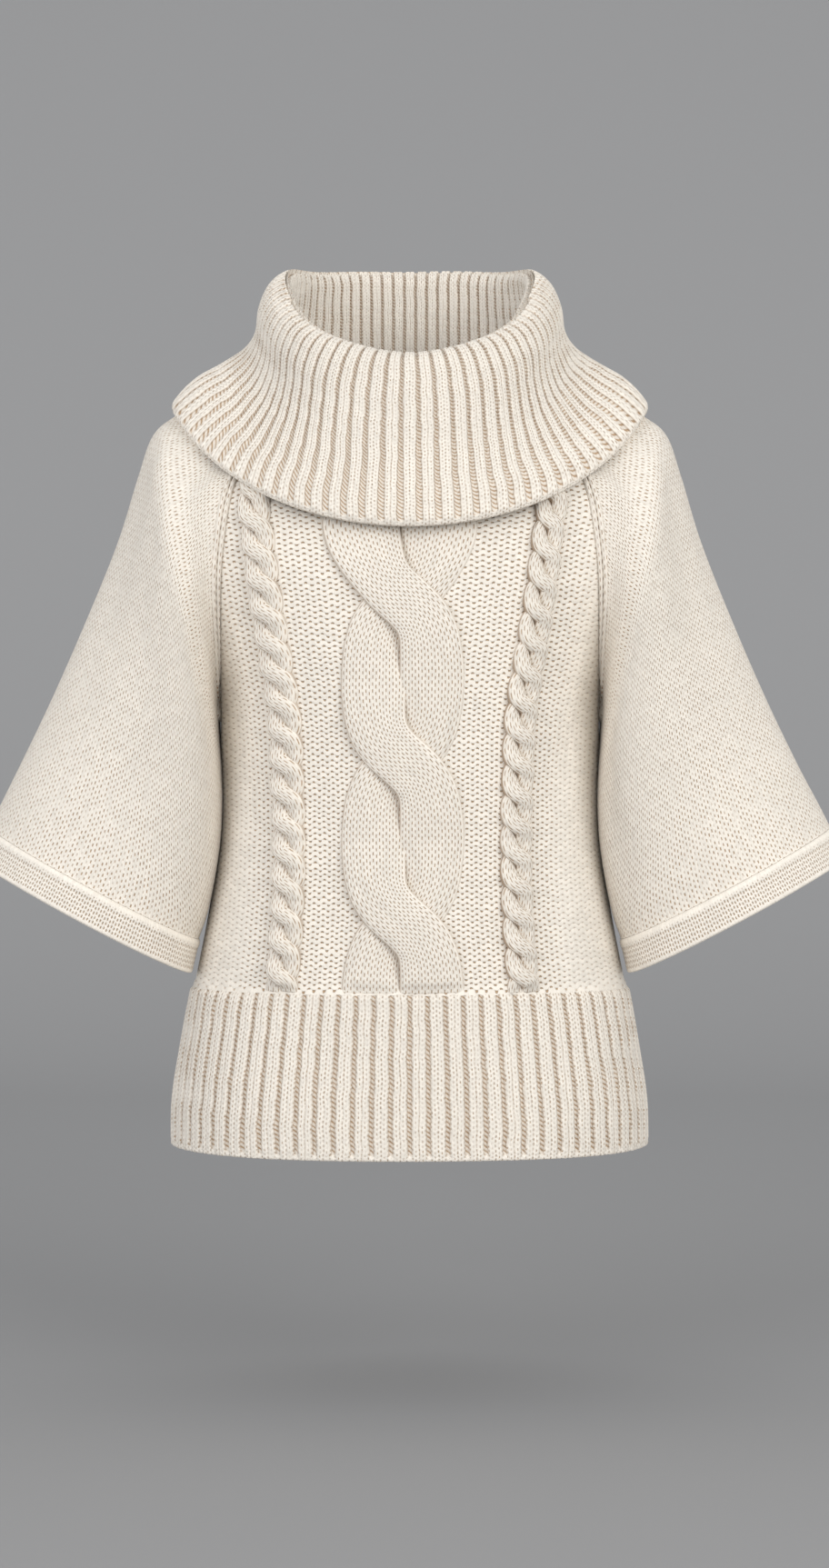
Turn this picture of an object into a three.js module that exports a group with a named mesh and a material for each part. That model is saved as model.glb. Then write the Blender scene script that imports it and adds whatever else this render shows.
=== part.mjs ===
// A knitted poncho sweater, hollow as if worn: a front panel with raised cables, a plain back panel, wide raglan
// bell sleeves that end in turned cuffs, a deep ribbed waistband and a folded, ribbed cowl collar.
// Millimetres, +Z up, the front faces -Y. The origin is the middle of the neck, where the wearer carries it.
import * as THREE from "three";

// Cloth
const WALL = 3;
const SEAM_GAP = 0.3;
const NECK_GAP = 0.6;
const RIB_RISE = 2.2;

// Levels
const UNDERARM_Z = -225;
const BODY_BOTTOM_Z = -440;
const HEM_Z = -558;
const RAGLAN_TOP_ANGLE = THREE.MathUtils.degToRad(60);

// Horizontal sections of the body. half is the half width at the side line, front and back the depths from it.
// Above the underarm the section is the oval that body and shoulders share, and the raglan seam cuts it.
const OVAL_POWER = 2.2;
const BODY = [
  { z: 30, half: 180, front: 44, back: 74 },
  { z: -25, half: 190, front: 66, back: 88 },
  { z: -60, half: 201, front: 84, back: 96 },
  { z: -85, half: 200, front: 93, back: 100 },
  { z: -112, half: 190, front: 101, back: 103 },
  { z: -142, half: 173, front: 107, back: 104 },
  { z: -170, half: 158, front: 109.5, back: 103 },
  { z: -196, half: 148, front: 110, back: 101 },
  { z: -225, half: 141, front: 109, back: 98 },
  { z: -260, half: 140.2, front: 107, back: 95 },
  { z: -300, half: 140, front: 105, back: 92.5 },
  { z: -340, half: 142, front: 104, back: 92 },
  { z: -391, half: 150, front: 105, back: 95 },
  { z: -440, half: 159.5, front: 107, back: 99 },
  { z: -482, half: 167, front: 110, back: 103 },
  { z: -524, half: 173.5, front: 112, back: 106.5 },
  { z: -558, half: 174.5, front: 112, back: 107 },
];
// Front view of the raglan seam
const RAGLAN = [
  { z: 20, x: 84 },
  { z: -25, x: 92 },
  { z: -50, x: 112 },
  { z: -80, x: 126 },
  { z: -112, x: 132 },
  { z: -142, x: 135.5 },
  { z: -196, x: 138.5 },
  { z: -225, x: 141 },
];
// Heights every 30 degrees, from the front round one side to the back
const DIRECTIONS = ["front", "front30", "front60", "side", "back60", "back30", "back"];
const heights = (...values) => Object.fromEntries(DIRECTIONS.map((name, i) => [name, values[i]]));
const NECK_BLEND = 42;
const NECKLINE = { half: 100, frontDepth: 84, backDepth: 76, ...heights(-72, -62, -27, 13, 19, 20, 20) };

// Folded collar, section by section along its shown side: up the stand, over the fold and down the fall.
// gather draws the ribs apart in front and behind, and together at the sides.
const COLLAR = [
  { half: 98.5, frontDepth: 82.5, backDepth: 74.5, ...heights(-72, -62, -27, 13, 19, 20, 20), gather: 0 },
  { half: 94, frontDepth: 80, backDepth: 75, ...heights(-38, -28, 4, 43, 49, 51, 52), gather: 0.05 },
  { half: 89.5, frontDepth: 78.5, backDepth: 76, ...heights(-3, 7.5, 34, 71, 79, 83, 84), gather: 0.1 },
  { half: 88.8, frontDepth: 79.5, backDepth: 77, ...heights(8, 18.5, 43, 78, 88.5, 93, 94.5), gather: 0.12 },
  { half: 92.5, frontDepth: 86, backDepth: 83, ...heights(14, 24.5, 49, 83.5, 94, 98.5, 100), gather: 0.12 },
  { half: 103, frontDepth: 94, backDepth: 90.5, ...heights(8, 18.5, 43, 76.5, 87, 92, 94), gather: 0.15 },
  { half: 110, frontDepth: 99, backDepth: 96, ...heights(-10, 1, 28, 62, 71, 76, 78), gather: 0.22 },
  { half: 113, frontDepth: 102.5, backDepth: 99, ...heights(-34, -23, 7, 44, 51, 54, 55), gather: 0.25 },
  { half: 122, frontDepth: 106, backDepth: 102, ...heights(-58, -45, -13, 30, 31, 30, 30), gather: 0.2 },
  { half: 139, frontDepth: 112, backDepth: 105, ...heights(-80, -64, -27, 18, 13, 7, 5), gather: 0.12 },
  { half: 160, frontDepth: 117, backDepth: 108, ...heights(-98, -81, -38, 6, -3, -14, -18), gather: 0.06 },
  { half: 176, frontDepth: 120.5, backDepth: 110, ...heights(-106, -89, -44.5, -8, -17, -29, -34), gather: 0 },
  { half: 178, frontDepth: 121, backDepth: 110.5, ...heights(-109.5, -92.5, -48, -14, -22, -34, -39), gather: 0 },
];
const COLLAR_FOLD_PLACE = 3.6;
const COLLAR_SHOWN_ROWS = [
  { place: 0, rise: 0 },
  { place: 1, rise: 1 },
  { place: 3, rise: 1 },
  { place: 4, rise: 1 },
  { place: 5, rise: 1 },
  { place: 6, rise: 1 },
  { place: 7, rise: 1 },
  { place: 8, rise: 1 },
  { place: 9, rise: 1 },
  { place: 10, rise: 1 },
  { place: 11, rise: 1 },
  { place: 12, rise: 0.35 },
];
const COLLAR_HIDDEN_PLACES = [0, 1, 2.4, 3.4, 4, 4.6, 5.6, 7, 8.5, 10];
const COLLAR_RIBS = 72;
const HEM_RIBS = 68;

// Sleeve sections from the armhole to the cuff: the outer and the inner line in the front view, how far the inner
// line hangs forward over the body's side, and the depths
const SLEEVE = [
  { outX: 100, outZ: 13, inX: 141, inZ: -225, inY: 0, front: 80, back: 80 },
  { outX: 141, outZ: 5, inX: 141.3, inZ: -240, inY: -6, front: 78, back: 79 },
  { outX: 171.5, outZ: -17, inX: 140.2, inZ: -258, inY: -17, front: 76, back: 77 },
  { outX: 190, outZ: -33, inX: 138.4, inZ: -280, inY: -27, front: 77.5, back: 76 },
  { outX: 201, outZ: -63, inX: 137.4, inZ: -305, inY: -32, front: 75.5, back: 73 },
  { outX: 216, outZ: -111, inX: 138.8, inZ: -334, inY: -33, front: 73, back: 70 },
  { outX: 239, outZ: -168, inX: 143, inZ: -362, inY: -32, front: 69, back: 66 },
  { outX: 270, outZ: -238, inX: 148.5, inZ: -387, inY: -29, front: 66, back: 63 },
  { outX: 311.5, outZ: -323, inX: 155, inZ: -405, inY: -25, front: 65, back: 62 },
];
const ARMHOLE_NECK_SHARE = 0.15;
const ARMHOLE_FADE = 0.34;

// Outside of the turned cuff, from the sleeve down. Its inner end flares towards the body.
const CUFF_DROP = 25;
const CUFF_OUTSIDE = [
  { drop: SEAM_GAP, proud: 0.5 },
  { drop: 1.8, proud: 1.5 },
  { drop: 23, proud: 3.7 },
  { drop: CUFF_DROP, proud: 2.5 },
];
const CUFF_FLARE = 2;
const CUFF_INNER_FLARE = 5.5;
const CUFF_SIDE_SHARE = 0.6;

// Raised cables of the front panel. A strand is in front while it crosses from left to right, going down.
const CABLE_SHIFT_X = -5;
const ROPE_OFFSET = [
  { z: -33, x: 68 },
  { z: -60, x: 96 },
  { z: -85, x: 106 },
  { z: -115, x: 103 },
  { z: -150, x: 98.5 },
  { z: -200, x: 90.5 },
  { z: -240, x: 84 },
  { z: -290, x: 81.5 },
  { z: -340, x: 80.5 },
  { z: -390, x: 82 },
  { z: -440, x: 86 },
];
const ROPE = { half: 10.5, rise: 5, pitch: 21.6 };
const ROPE_GROOVE = 0.35;
const BRAID = { swing: 21.5, strandHalf: 22.5, rise: 5.5, pitch: 114.5, crossingZ: -160 };
const BRAID_DOME_POWER = 3;
const BRAID_TUCK = 0.35;
const BRAID_EDGE_MARGIN = 1.5;
const BRAID_SPREAD_TOP = { z: -105, extra: 9, reach: 45 };
const CABLE_FADE = 10;
// Columns of points across the front: ground, rope, ground, braid, ground, rope, ground. The rows of points slant
// down across a rope, by its pitch, so that they run along its lobes.
const FRONT_LANES = [
  { columns: 2, slantFrom: 0, slantTo: 1 },
  { columns: 5, slantFrom: 1, slantTo: -1 },
  { columns: 2, slantFrom: -1, slantTo: 0 },
  { columns: 12, slantFrom: 0, slantTo: 0 },
  { columns: 2, slantFrom: 0, slantTo: 1 },
  { columns: 5, slantFrom: 1, slantTo: -1 },
  { columns: 2, slantFrom: -1, slantTo: 0 },
];
const LEAST_GROUND = 4;

const CREAM = 0xece5d8;

const lerp = THREE.MathUtils.lerp;
const clamp = THREE.MathUtils.clamp;
const smooth = (x) => THREE.MathUtils.smoothstep(x, 0, 1);
const vec = (x, y, z) => new THREE.Vector3(x, y, z);

// A table's column at a place, by cubic pieces that follow the neighbouring rows. key is the column that orders it.
function read(table, key, column, place) {
  const falling = table[0][key] > table[table.length - 1][key];
  const at = (i) => (falling ? -table[i][key] : table[i][key]);
  const x = clamp(falling ? -place : place, at(0), at(table.length - 1));
  let i = 0;
  while (i < table.length - 2 && x > at(i + 1)) i += 1;
  const slope = (a, b) => (table[b][column] - table[a][column]) / (at(b) - at(a));
  const width = at(i + 1) - at(i);
  const before = i > 0 ? slope(i - 1, i + 1) : slope(0, 1);
  const after = i < table.length - 2 ? slope(i, i + 2) : slope(i, i + 1);
  const t = (x - at(i)) / width;
  const [p, q] = [table[i][column], table[i + 1][column]];
  const [t2, t3] = [t * t, t * t * t];
  return (
    (2 * t3 - 3 * t2 + 1) * p + (t3 - 2 * t2 + t) * width * before + (3 * t2 - 2 * t3) * q + (t3 - t2) * width * after
  );
}

// A row of a table without a key column, read at a place counted in rows
function blendRows(table, place) {
  const numbered = table.map((row, index) => ({ ...row, index }));
  const found = {};
  for (const column of Object.keys(table[0])) found[column] = read(numbered, "index", column, place);
  return found;
}

// Height in a direction, 0 at the front and pi at the back, by the cosine series through the named heights
function heightTowards(row, angle) {
  const last = DIRECTIONS.length - 1;
  let height = 0;
  for (let k = 0; k <= last; k += 1) {
    let weight = 0;
    for (let j = 0; j <= last; j += 1) {
      const end = j === 0 || j === last ? 0.5 : 1;
      weight += end * row[DIRECTIONS[j]] * Math.cos((k * j * Math.PI) / last);
    }
    height += ((k === 0 || k === last ? 1 : 2) / last) * weight * Math.cos(k * angle);
  }
  return height;
}

function ringPoint(row, angle) {
  const depth = Math.cos(angle) > 0 ? row.frontDepth : row.backDepth;
  return vec(row.half * Math.sin(angle), -depth * Math.cos(angle), heightTowards(row, angle));
}

// Point of the body's oval section. angle is 0 in front, a quarter turn at the +X side and pi behind.
function ovalPoint(angle, z) {
  const half = read(BODY, "z", "half", z);
  const depth = read(BODY, "z", Math.cos(angle) > 0 ? "front" : "back", z);
  const power = (value) => Math.sign(value) * Math.abs(value) ** (2 / OVAL_POWER);
  return vec(half * power(Math.sin(angle)), -depth * power(Math.cos(angle)), z);
}

function ovalAngle(x, z) {
  const half = read(BODY, "z", "half", z);
  return Math.sign(x) * Math.asin(clamp(Math.abs(x) / half, 0, 1) ** (OVAL_POWER / 2));
}

// Half width of a panel in the front view: the raglan seam above the underarm, the side seam below it
const panelEdge = (z) => (z > UNDERARM_Z ? read(RAGLAN, "z", "x", z) : read(BODY, "z", "half", z));

// Point of a panel. share runs from -1 to 1 across it by the oval's angle, and towards is -1 in front, 1 behind.
// Within NECK_BLEND of the neck the oval gives way to the neckline.
function neckPoint(share, towards) {
  const sweep = share * RAGLAN_TOP_ANGLE;
  return ringPoint(NECKLINE, towards < 0 ? sweep : Math.PI - sweep);
}

function panelPoint(share, z, towards) {
  const neck = neckPoint(share, towards);
  const angle = share * ovalAngle(panelEdge(z), z);
  const oval = ovalPoint(towards < 0 ? angle : Math.PI - angle, z);
  const below = smooth((neck.z - z) / NECK_BLEND);
  return vec(lerp(neck.x, oval.x, below), lerp(neck.y, oval.y, below), z);
}

const panelTop = (share, towards) => neckPoint(share, towards).z;

// Height of a rope's slanted lobes. across is the distance from its middle line.
function ropeHeight(across, z) {
  const share = across / ROPE.half;
  if (Math.abs(share) >= 1) return 0;
  const lobe = (z - BODY_BOTTOM_Z) / ROPE.pitch + share / 2;
  const ridge = Math.sqrt(Math.abs(Math.sin(Math.PI * lobe)));
  return ROPE.rise * Math.sqrt(1 - share * share) * lerp(ROPE_GROOVE, 1, ridge);
}

// Height of the two broad strands that twist round each other down the middle
function braidHeight(across, z) {
  let height = 0;
  for (const turn of [0, Math.PI]) {
    const phase = (Math.PI * (BRAID.crossingZ - z)) / BRAID.pitch + turn + Math.PI / 2;
    const offset = (across - braidSwing(z) * Math.cos(phase)) / BRAID.strandHalf;
    const dome = Math.max(0, 1 - Math.abs(offset) ** BRAID_DOME_POWER);
    height = Math.max(height, BRAID.rise * dome * (1 - BRAID_TUCK * Math.sin(phase)));
  }
  return height;
}

const braidSwing = (z) =>
  BRAID.swing + BRAID_SPREAD_TOP.extra * smooth((z - BRAID_SPREAD_TOP.z) / BRAID_SPREAD_TOP.reach + 1);

// Half width of the two strands together, drawn in a little at the crossings
function braidEdge(z) {
  const phase = (Math.PI * (BRAID.crossingZ - z)) / BRAID.pitch + Math.PI / 2;
  return braidSwing(z) * Math.abs(Math.cos(phase)) + BRAID.strandHalf + BRAID_EDGE_MARGIN;
}

function cableHeight(x, z, topZ) {
  const across = x - CABLE_SHIFT_X;
  const rope = read(ROPE_OFFSET, "z", "x", z);
  const raised = Math.max(
    braidHeight(across, z),
    ropeHeight(across - rope, z),
    ropeHeight(across + rope, z),
  );
  return raised * smooth((topZ - z) / CABLE_FADE);
}

// Unit normal of a surface given by a function of two numbers, turned to the side of the point outside
function normalAt(surface, a, b, stepA, stepB, outside) {
  const alongA = surface(a + stepA, b).sub(surface(a - stepA, b));
  const alongB = surface(a, b + stepB).sub(surface(a, b - stepB));
  const normal = alongA.cross(alongB).normalize();
  return normal.dot(outside) < 0 ? normal.negate() : normal;
}

// Closed wall between an outer and an inner net of points, each a list of rows. round joins each row's ends.
function wallGeometry(outer, inner, round) {
  const points = [];
  const index = [];
  const number = (net) => net.map((row) => row.map((point) => points.push(point.x, point.y, point.z) / 3 - 1));
  const [out, into] = [number(outer), number(inner)];
  const face = (a, b, c, flip) => index.push(...(flip ? [a, c, b] : [a, b, c]));
  const columns = (row) => (round ? row.length : row.length - 1);
  const sheet = (net, flip) => {
    for (let i = 0; i < net.length - 1; i += 1) {
      for (let j = 0; j < columns(net[i]); j += 1) {
        const k = (j + 1) % net[i].length;
        face(net[i][j], net[i + 1][j], net[i + 1][k], flip);
        face(net[i][j], net[i + 1][k], net[i][k], flip);
      }
    }
  };
  // Closes the rim between two lines of points that run side by side and may differ in number
  const rim = (first, second, steps, flip) => {
    let [i, j] = [0, 0];
    while (i < steps[0] || j < steps[1]) {
      const [a, b] = [first[i % first.length], second[j % second.length]];
      const advanceFirst = j === steps[1] || (i < steps[0] && (i + 1) / steps[0] <= (j + 1) / steps[1]);
      if (advanceFirst) i += 1;
      else j += 1;
      face(a, advanceFirst ? first[i % first.length] : second[j % second.length], b, flip);
    }
  };
  sheet(out, false);
  sheet(into, true);
  const ends = [columns(out[0]), columns(into[0])];
  rim(out[0], into[0], ends, false);
  rim(out[out.length - 1], into[into.length - 1], ends, true);
  if (!round) {
    const sides = [out.length - 1, into.length - 1];
    rim(out.map((row) => row[0]), into.map((row) => row[0]), sides, true);
    rim(out.map((row) => row[row.length - 1]), into.map((row) => row[row.length - 1]), sides, false);
  }
  const geometry = new THREE.BufferGeometry();
  geometry.setAttribute("position", new THREE.Float32BufferAttribute(points, 3));
  geometry.setIndex(volumeOf(points, index) < 0 ? index.reverse() : index);
  geometry.computeVertexNormals();
  return geometry;
}

function volumeOf(points, index) {
  const corner = (i) => vec(...points.slice(3 * index[i], 3 * index[i] + 3));
  let volume = 0;
  for (let i = 0; i < index.length; i += 3) volume += corner(i).dot(corner(i + 1).cross(corner(i + 2))) / 6;
  return volume;
}

function clothMesh(name, geometry, color = CREAM) {
  const mesh = new THREE.Mesh(geometry, new THREE.MeshStandardMaterial({ color, roughness: 0.92, metalness: 0 }));
  mesh.name = name;
  return mesh;
}

// Shares across the front panel at a height, so that the columns follow the ropes and the braid
function frontShares(z) {
  const edge = panelEdge(z);
  const rope = Math.min(read(ROPE_OFFSET, "z", "x", z), edge - ROPE.half - LEAST_GROUND);
  const braid = Math.min(braidEdge(z), rope - ROPE.half - LEAST_GROUND);
  const borders = [-rope - ROPE.half, -rope + ROPE.half, -braid, braid, rope - ROPE.half, rope + ROPE.half];
  const shifted = borders.map((x) => x + CABLE_SHIFT_X);
  const angles = [-edge, ...shifted, edge].map((x) => ovalAngle(clamp(x, -edge, edge), z) / ovalAngle(edge, z));
  const shares = [angles[0]];
  FRONT_LANES.forEach(({ columns }, lane) => {
    for (let i = 1; i <= columns; i += 1) shares.push(lerp(angles[lane], angles[lane + 1], i / columns));
  });
  return shares;
}

// How far each column's points are lifted, so that the rows run along the ropes' lobes
function frontSlants() {
  const slants = [0];
  for (const { columns, slantFrom, slantTo } of FRONT_LANES) {
    for (let i = 1; i <= columns; i += 1) slants.push((lerp(slantFrom, slantTo, i / columns) * ROPE.pitch) / 2);
  }
  return slants;
}

// Rows of heights for a column: a few near the neckline, and then even ones down to the waistband
function columnHeights(topZ, neckRows, evenFromZ, evenRows) {
  const bottom = BODY_BOTTOM_Z + SEAM_GAP / 2;
  const heights = [];
  for (let i = 0; i < neckRows; i += 1) heights.push(lerp(topZ, evenFromZ, i / neckRows));
  for (let i = 0; i <= evenRows; i += 1) heights.push(lerp(evenFromZ, bottom, i / evenRows));
  return heights;
}

// The panels end this far out, and their normals are read at most this far out
const EDGE_SHARE = 0.996;
const NORMAL_SHARE = 0.985;
const NORMAL_STEP = 0.01;
const ROWS_PER_LOBE = 4;
const FRONT_EVEN_ROWS = 62;
const FRONT_ROWS = {
  neck: 5,
  evenFromZ: BODY_BOTTOM_Z + (FRONT_EVEN_ROWS * ROPE.pitch) / ROWS_PER_LOBE,
  even: FRONT_EVEN_ROWS,
};
const SLANT_REACH = { top: 50, bottom: 24 };
const PANEL_INNER = { columns: 14, neck: 2, even: 12 };
const BACK_ROWS = { neck: 4, evenFromZ: -70, even: 20, columns: 18 };

function panelNormal(share, z, towards) {
  const surface = (a, b) => panelPoint(a, b, towards);
  const within = clamp(share, -NORMAL_SHARE, NORMAL_SHARE);
  return normalAt(surface, within, z, NORMAL_STEP, 1, surface(within, z).setZ(0));
}

function frontPanel() {
  const shareRows = (z) => frontShares(z).map((share) => share * EDGE_SHARE);
  const slants = frontSlants();
  const count = slants.length;
  const outer = [];
  for (let i = 0; i <= FRONT_ROWS.neck + FRONT_ROWS.even; i += 1) {
    outer.push([]);
    for (let j = 0; j < count; j += 1) {
      const neckShare = shareRows(FRONT_ROWS.evenFromZ)[j];
      const topZ = panelTop(neckShare, -1) - SEAM_GAP;
      const level = columnHeights(topZ, FRONT_ROWS.neck, FRONT_ROWS.evenFromZ, FRONT_ROWS.even)[i];
      const fromTop = smooth((topZ - level) / SLANT_REACH.top);
      const fromBottom = clamp((level - BODY_BOTTOM_Z) / SLANT_REACH.bottom, 0, 1);
      const z = level + slants[j] * Math.min(fromTop, fromBottom);
      const share = i < FRONT_ROWS.neck ? neckShare : shareRows(z)[j];
      const base = panelPoint(share, z, -1);
      const rise = j === 0 || j === count - 1 ? 0 : cableHeight(base.x, z, topZ);
      outer[i].push(base.addScaledVector(panelNormal(share, z, -1), rise));
    }
  }
  return clothMesh("front_panel", wallGeometry(outer, plainInside(-1, FRONT_ROWS.evenFromZ), false));
}

// The plain side of a panel, a wall's thickness in
function plainInside(towards, evenFromZ) {
  const rows = [];
  for (let i = 0; i <= PANEL_INNER.neck + PANEL_INNER.even; i += 1) {
    rows.push([]);
    for (let j = 0; j <= PANEL_INNER.columns; j += 1) {
      const share = lerp(-EDGE_SHARE, EDGE_SHARE, j / PANEL_INNER.columns);
      const topZ = panelTop(share, towards) - SEAM_GAP;
      const z = columnHeights(topZ, PANEL_INNER.neck, evenFromZ, PANEL_INNER.even)[i];
      const normal = panelNormal(share, z, towards);
      const point = panelPoint(share, z, towards).addScaledVector(normal, -WALL);
      const lowest = i === PANEL_INNER.neck + PANEL_INNER.even;
      rows[i].push(lowest ? point.setZ(z) : point);
    }
  }
  return rows;
}

function backPanel() {
  const outer = [];
  for (let i = 0; i <= BACK_ROWS.neck + BACK_ROWS.even; i += 1) {
    outer.push([]);
    for (let j = 0; j <= BACK_ROWS.columns; j += 1) {
      const share = lerp(-EDGE_SHARE, EDGE_SHARE, j / BACK_ROWS.columns);
      const topZ = panelTop(share, 1) - SEAM_GAP;
      const z = columnHeights(topZ, BACK_ROWS.neck, BACK_ROWS.evenFromZ, BACK_ROWS.even)[i];
      outer[i].push(panelPoint(share, z, 1));
    }
  }
  return clothMesh("back_panel", wallGeometry(outer, plainInside(1, BACK_ROWS.evenFromZ), false));
}

// Loop that a sleeve is sewn to. turn is 0 on the shoulder, positive in front, and half a turn at the underarm.
function armholePoint(turn) {
  const towards = turn >= 0 ? -1 : 1;
  const along = Math.abs(turn) / Math.PI;
  if (along < ARMHOLE_NECK_SHARE) {
    const corner = towards < 0 ? RAGLAN_TOP_ANGLE : Math.PI - RAGLAN_TOP_ANGLE;
    return ringPoint(NECKLINE, lerp(Math.PI / 2, corner, along / ARMHOLE_NECK_SHARE));
  }
  return panelPoint(1, seamHeight(along, towards), towards);
}

// Height on the raglan seam, closer together at both of its ends
function seamHeight(along, towards) {
  const down = (along - ARMHOLE_NECK_SHARE) / (1 - ARMHOLE_NECK_SHARE);
  return lerp(panelTop(1, towards), UNDERARM_Z, (1 - Math.cos(Math.PI * down)) / 2);
}

// Regular sleeve section, an oval on its outer and inner line
function sleeveOval(row, turn) {
  const across = (1 - Math.cos(turn)) / 2;
  const depth = turn >= 0 ? row.front : row.back;
  const y = row.inY * across - depth * Math.sin(turn);
  return vec(lerp(row.outX, row.inX, across), y, lerp(row.outZ, row.inZ, across));
}

// Point of the +X sleeve. along is 0 at the armhole and 1 at the cuff.
function sleevePoint(along, turn) {
  const row = blendRows(SLEEVE, along * (SLEEVE.length - 1));
  const regular = sleeveOval(row, turn);
  const sewn = armholePoint(turn).sub(sleeveOval(SLEEVE[0], turn));
  return regular.addScaledVector(sewn, 1 - smooth(along / ARMHOLE_FADE));
}

// The sleeve's end: its middle plane's chord from the outer to the inner line, and the way out of the sleeve
function sleeveEnd() {
  const end = SLEEVE[SLEEVE.length - 1];
  const chord = vec(end.inX - end.outX, 0, end.inZ - end.outZ);
  const length = chord.length();
  chord.normalize();
  return { end, chord, length, down: vec(-chord.z, 0, chord.x) };
}
const SLEEVE_END = sleeveEnd();

const SLEEVE_NET = { rows: 12, columns: 28, innerRows: 8, innerColumns: 14, first: 0.004, crowding: 1.2 };

// Turns of the points round a sleeve, half a step off the underarm
const sleeveTurn = (j, columns) => Math.PI - (2 * Math.PI * (j + 0.5)) / columns;

function sleeveNormal(along, turn) {
  const place = clamp(along, NORMAL_STEP, 1 - NORMAL_STEP);
  const row = blendRows(SLEEVE, place * (SLEEVE.length - 1));
  const middle = vec((row.outX + row.inX) / 2, row.inY / 2, (row.outZ + row.inZ) / 2);
  return normalAt(sleevePoint, place, turn, NORMAL_STEP, NORMAL_STEP, sleevePoint(place, turn).sub(middle));
}

// At the armhole the wall leans half way to the panel's, and at the cuff it ends in the end's plane
function sleeveLean(along, turn) {
  const normal = sleeveNormal(along, turn);
  if (along === 1) return normal.addScaledVector(SLEEVE_END.down, -normal.dot(SLEEVE_END.down)).normalize();
  const share = Math.abs(turn) / Math.PI;
  if (along > SLEEVE_NET.first || share < ARMHOLE_NECK_SHARE) return normal;
  const towards = turn >= 0 ? -1 : 1;
  return normal.add(panelNormal(1, seamHeight(share, towards), towards)).normalize();
}

function sleeveRows(rows, columns, inward) {
  const net = [];
  for (let i = 0; i <= rows; i += 1) {
    const along = lerp(SLEEVE_NET.first, 1, (i / rows) ** SLEEVE_NET.crowding);
    net.push([]);
    for (let j = 0; j < columns; j += 1) {
      const turn = sleeveTurn(j, columns);
      net[i].push(sleevePoint(along, turn).addScaledVector(sleeveLean(along, turn), -inward));
    }
  }
  return net;
}

const mirrored = (net, side) => net.map((row) => row.map((point) => vec(point.x * side, point.y, point.z)));

function sleeve(name, side) {
  const outer = sleeveRows(SLEEVE_NET.rows, SLEEVE_NET.columns, 0);
  const inner = sleeveRows(SLEEVE_NET.innerRows, SLEEVE_NET.innerColumns, WALL);
  return clothMesh(name, wallGeometry(mirrored(outer, side), mirrored(inner, side), true));
}

// Loop round the cuff, square to the sleeve's end: drop below it, and proud of the sleeve's outside by proud
function cuffLoop(drop, proud, columns) {
  const { end, chord, length, down } = SLEEVE_END;
  const points = [];
  for (let j = 0; j < columns; j += 1) {
    const turn = sleeveTurn(j, columns);
    const flare = Math.cos(turn) < 0 ? (CUFF_INNER_FLARE * drop) / CUFF_DROP : 0;
    const reach = length / 2 + proud * CUFF_SIDE_SHARE + flare;
    const middle = vec((end.outX + end.inX) / 2, 0, (end.outZ + end.inZ) / 2);
    const point = middle.addScaledVector(chord, -reach * Math.cos(turn)).addScaledVector(down, drop);
    const depth = (turn >= 0 ? end.front : end.back) + proud;
    points.push(point.setY((end.inY * (1 - Math.cos(turn))) / 2 - depth * Math.sin(turn)));
  }
  return points;
}

// The turned cuff goes on from the sleeve's end and stands a little proud of it
function cuff(name, side) {
  const { columns, innerColumns } = SLEEVE_NET;
  const outer = CUFF_OUTSIDE.map(({ drop, proud }) => cuffLoop(drop, proud, columns));
  const ends = [CUFF_OUTSIDE[0], CUFF_OUTSIDE[CUFF_OUTSIDE.length - 1]];
  const inner = ends.map(({ drop }) => cuffLoop(drop, drop < CUFF_DROP ? -WALL : CUFF_FLARE - WALL, innerColumns));
  return clothMesh(name, wallGeometry(mirrored(outer, side), mirrored(inner, side), true));
}

const RING_SAMPLES = 360;

// Angles that cut a closed ring into equal lengths, starting in front. gather shifts them as in the collar's table.
function evenAngles(ring, count, first, gather) {
  const samples = RING_SAMPLES;
  const lengths = [0];
  for (let i = 1; i <= samples; i += 1) {
    const step = ring((2 * Math.PI * i) / samples).distanceTo(ring((2 * Math.PI * (i - 1)) / samples));
    lengths.push(lengths[i - 1] + step);
  }
  const angles = [];
  for (let j = 0; j < count; j += 1) {
    const even = (j + first) / count;
    const share = even + (gather * Math.sin(4 * Math.PI * even)) / (4 * Math.PI);
    const wanted = ((share + 1) % 1) * lengths[samples];
    let i = 0;
    while (lengths[i + 1] < wanted) i += 1;
    const part = (wanted - lengths[i]) / (lengths[i + 1] - lengths[i]);
    angles.push((2 * Math.PI * (i + part)) / samples);
  }
  return angles;
}

// Places across one rib, from groove to groove, and how high each stands
const RIB_POINTS = [
  { place: 0, height: 0 },
  { place: 0.2, height: 1 },
  { place: 0.8, height: 1 },
];

// One row of points round a ribbed tube. ring gives its points, rise the ribs' height there, and first is the
// first groove's place in ribs.
function ribbedRow(ring, normal, ribs, first, gather, rise) {
  const row = [];
  const angles = RIB_POINTS.map(({ place }) => evenAngles(ring, ribs, first + place, gather));
  for (let rib = 0; rib < ribs; rib += 1) {
    RIB_POINTS.forEach(({ height }, i) => {
      const angle = angles[i][rib];
      row.push(ring(angle).addScaledVector(normal(angle), height * rise));
    });
  }
  return row;
}

// Rows of the waistband: how far its ribs rise at each height, and whether the plain inside has a row there too
const HEM_ROWS = [
  { z: BODY_BOTTOM_Z - SEAM_GAP / 2, rise: 0.55, inside: true },
  { z: BODY_BOTTOM_Z - 3, rise: 1, inside: false },
  { z: -482, rise: 1, inside: true },
  { z: -524, rise: 1, inside: true },
  { z: HEM_Z + 4, rise: 0.9, inside: false },
  { z: HEM_Z, rise: 0.1, inside: true },
];

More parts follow.
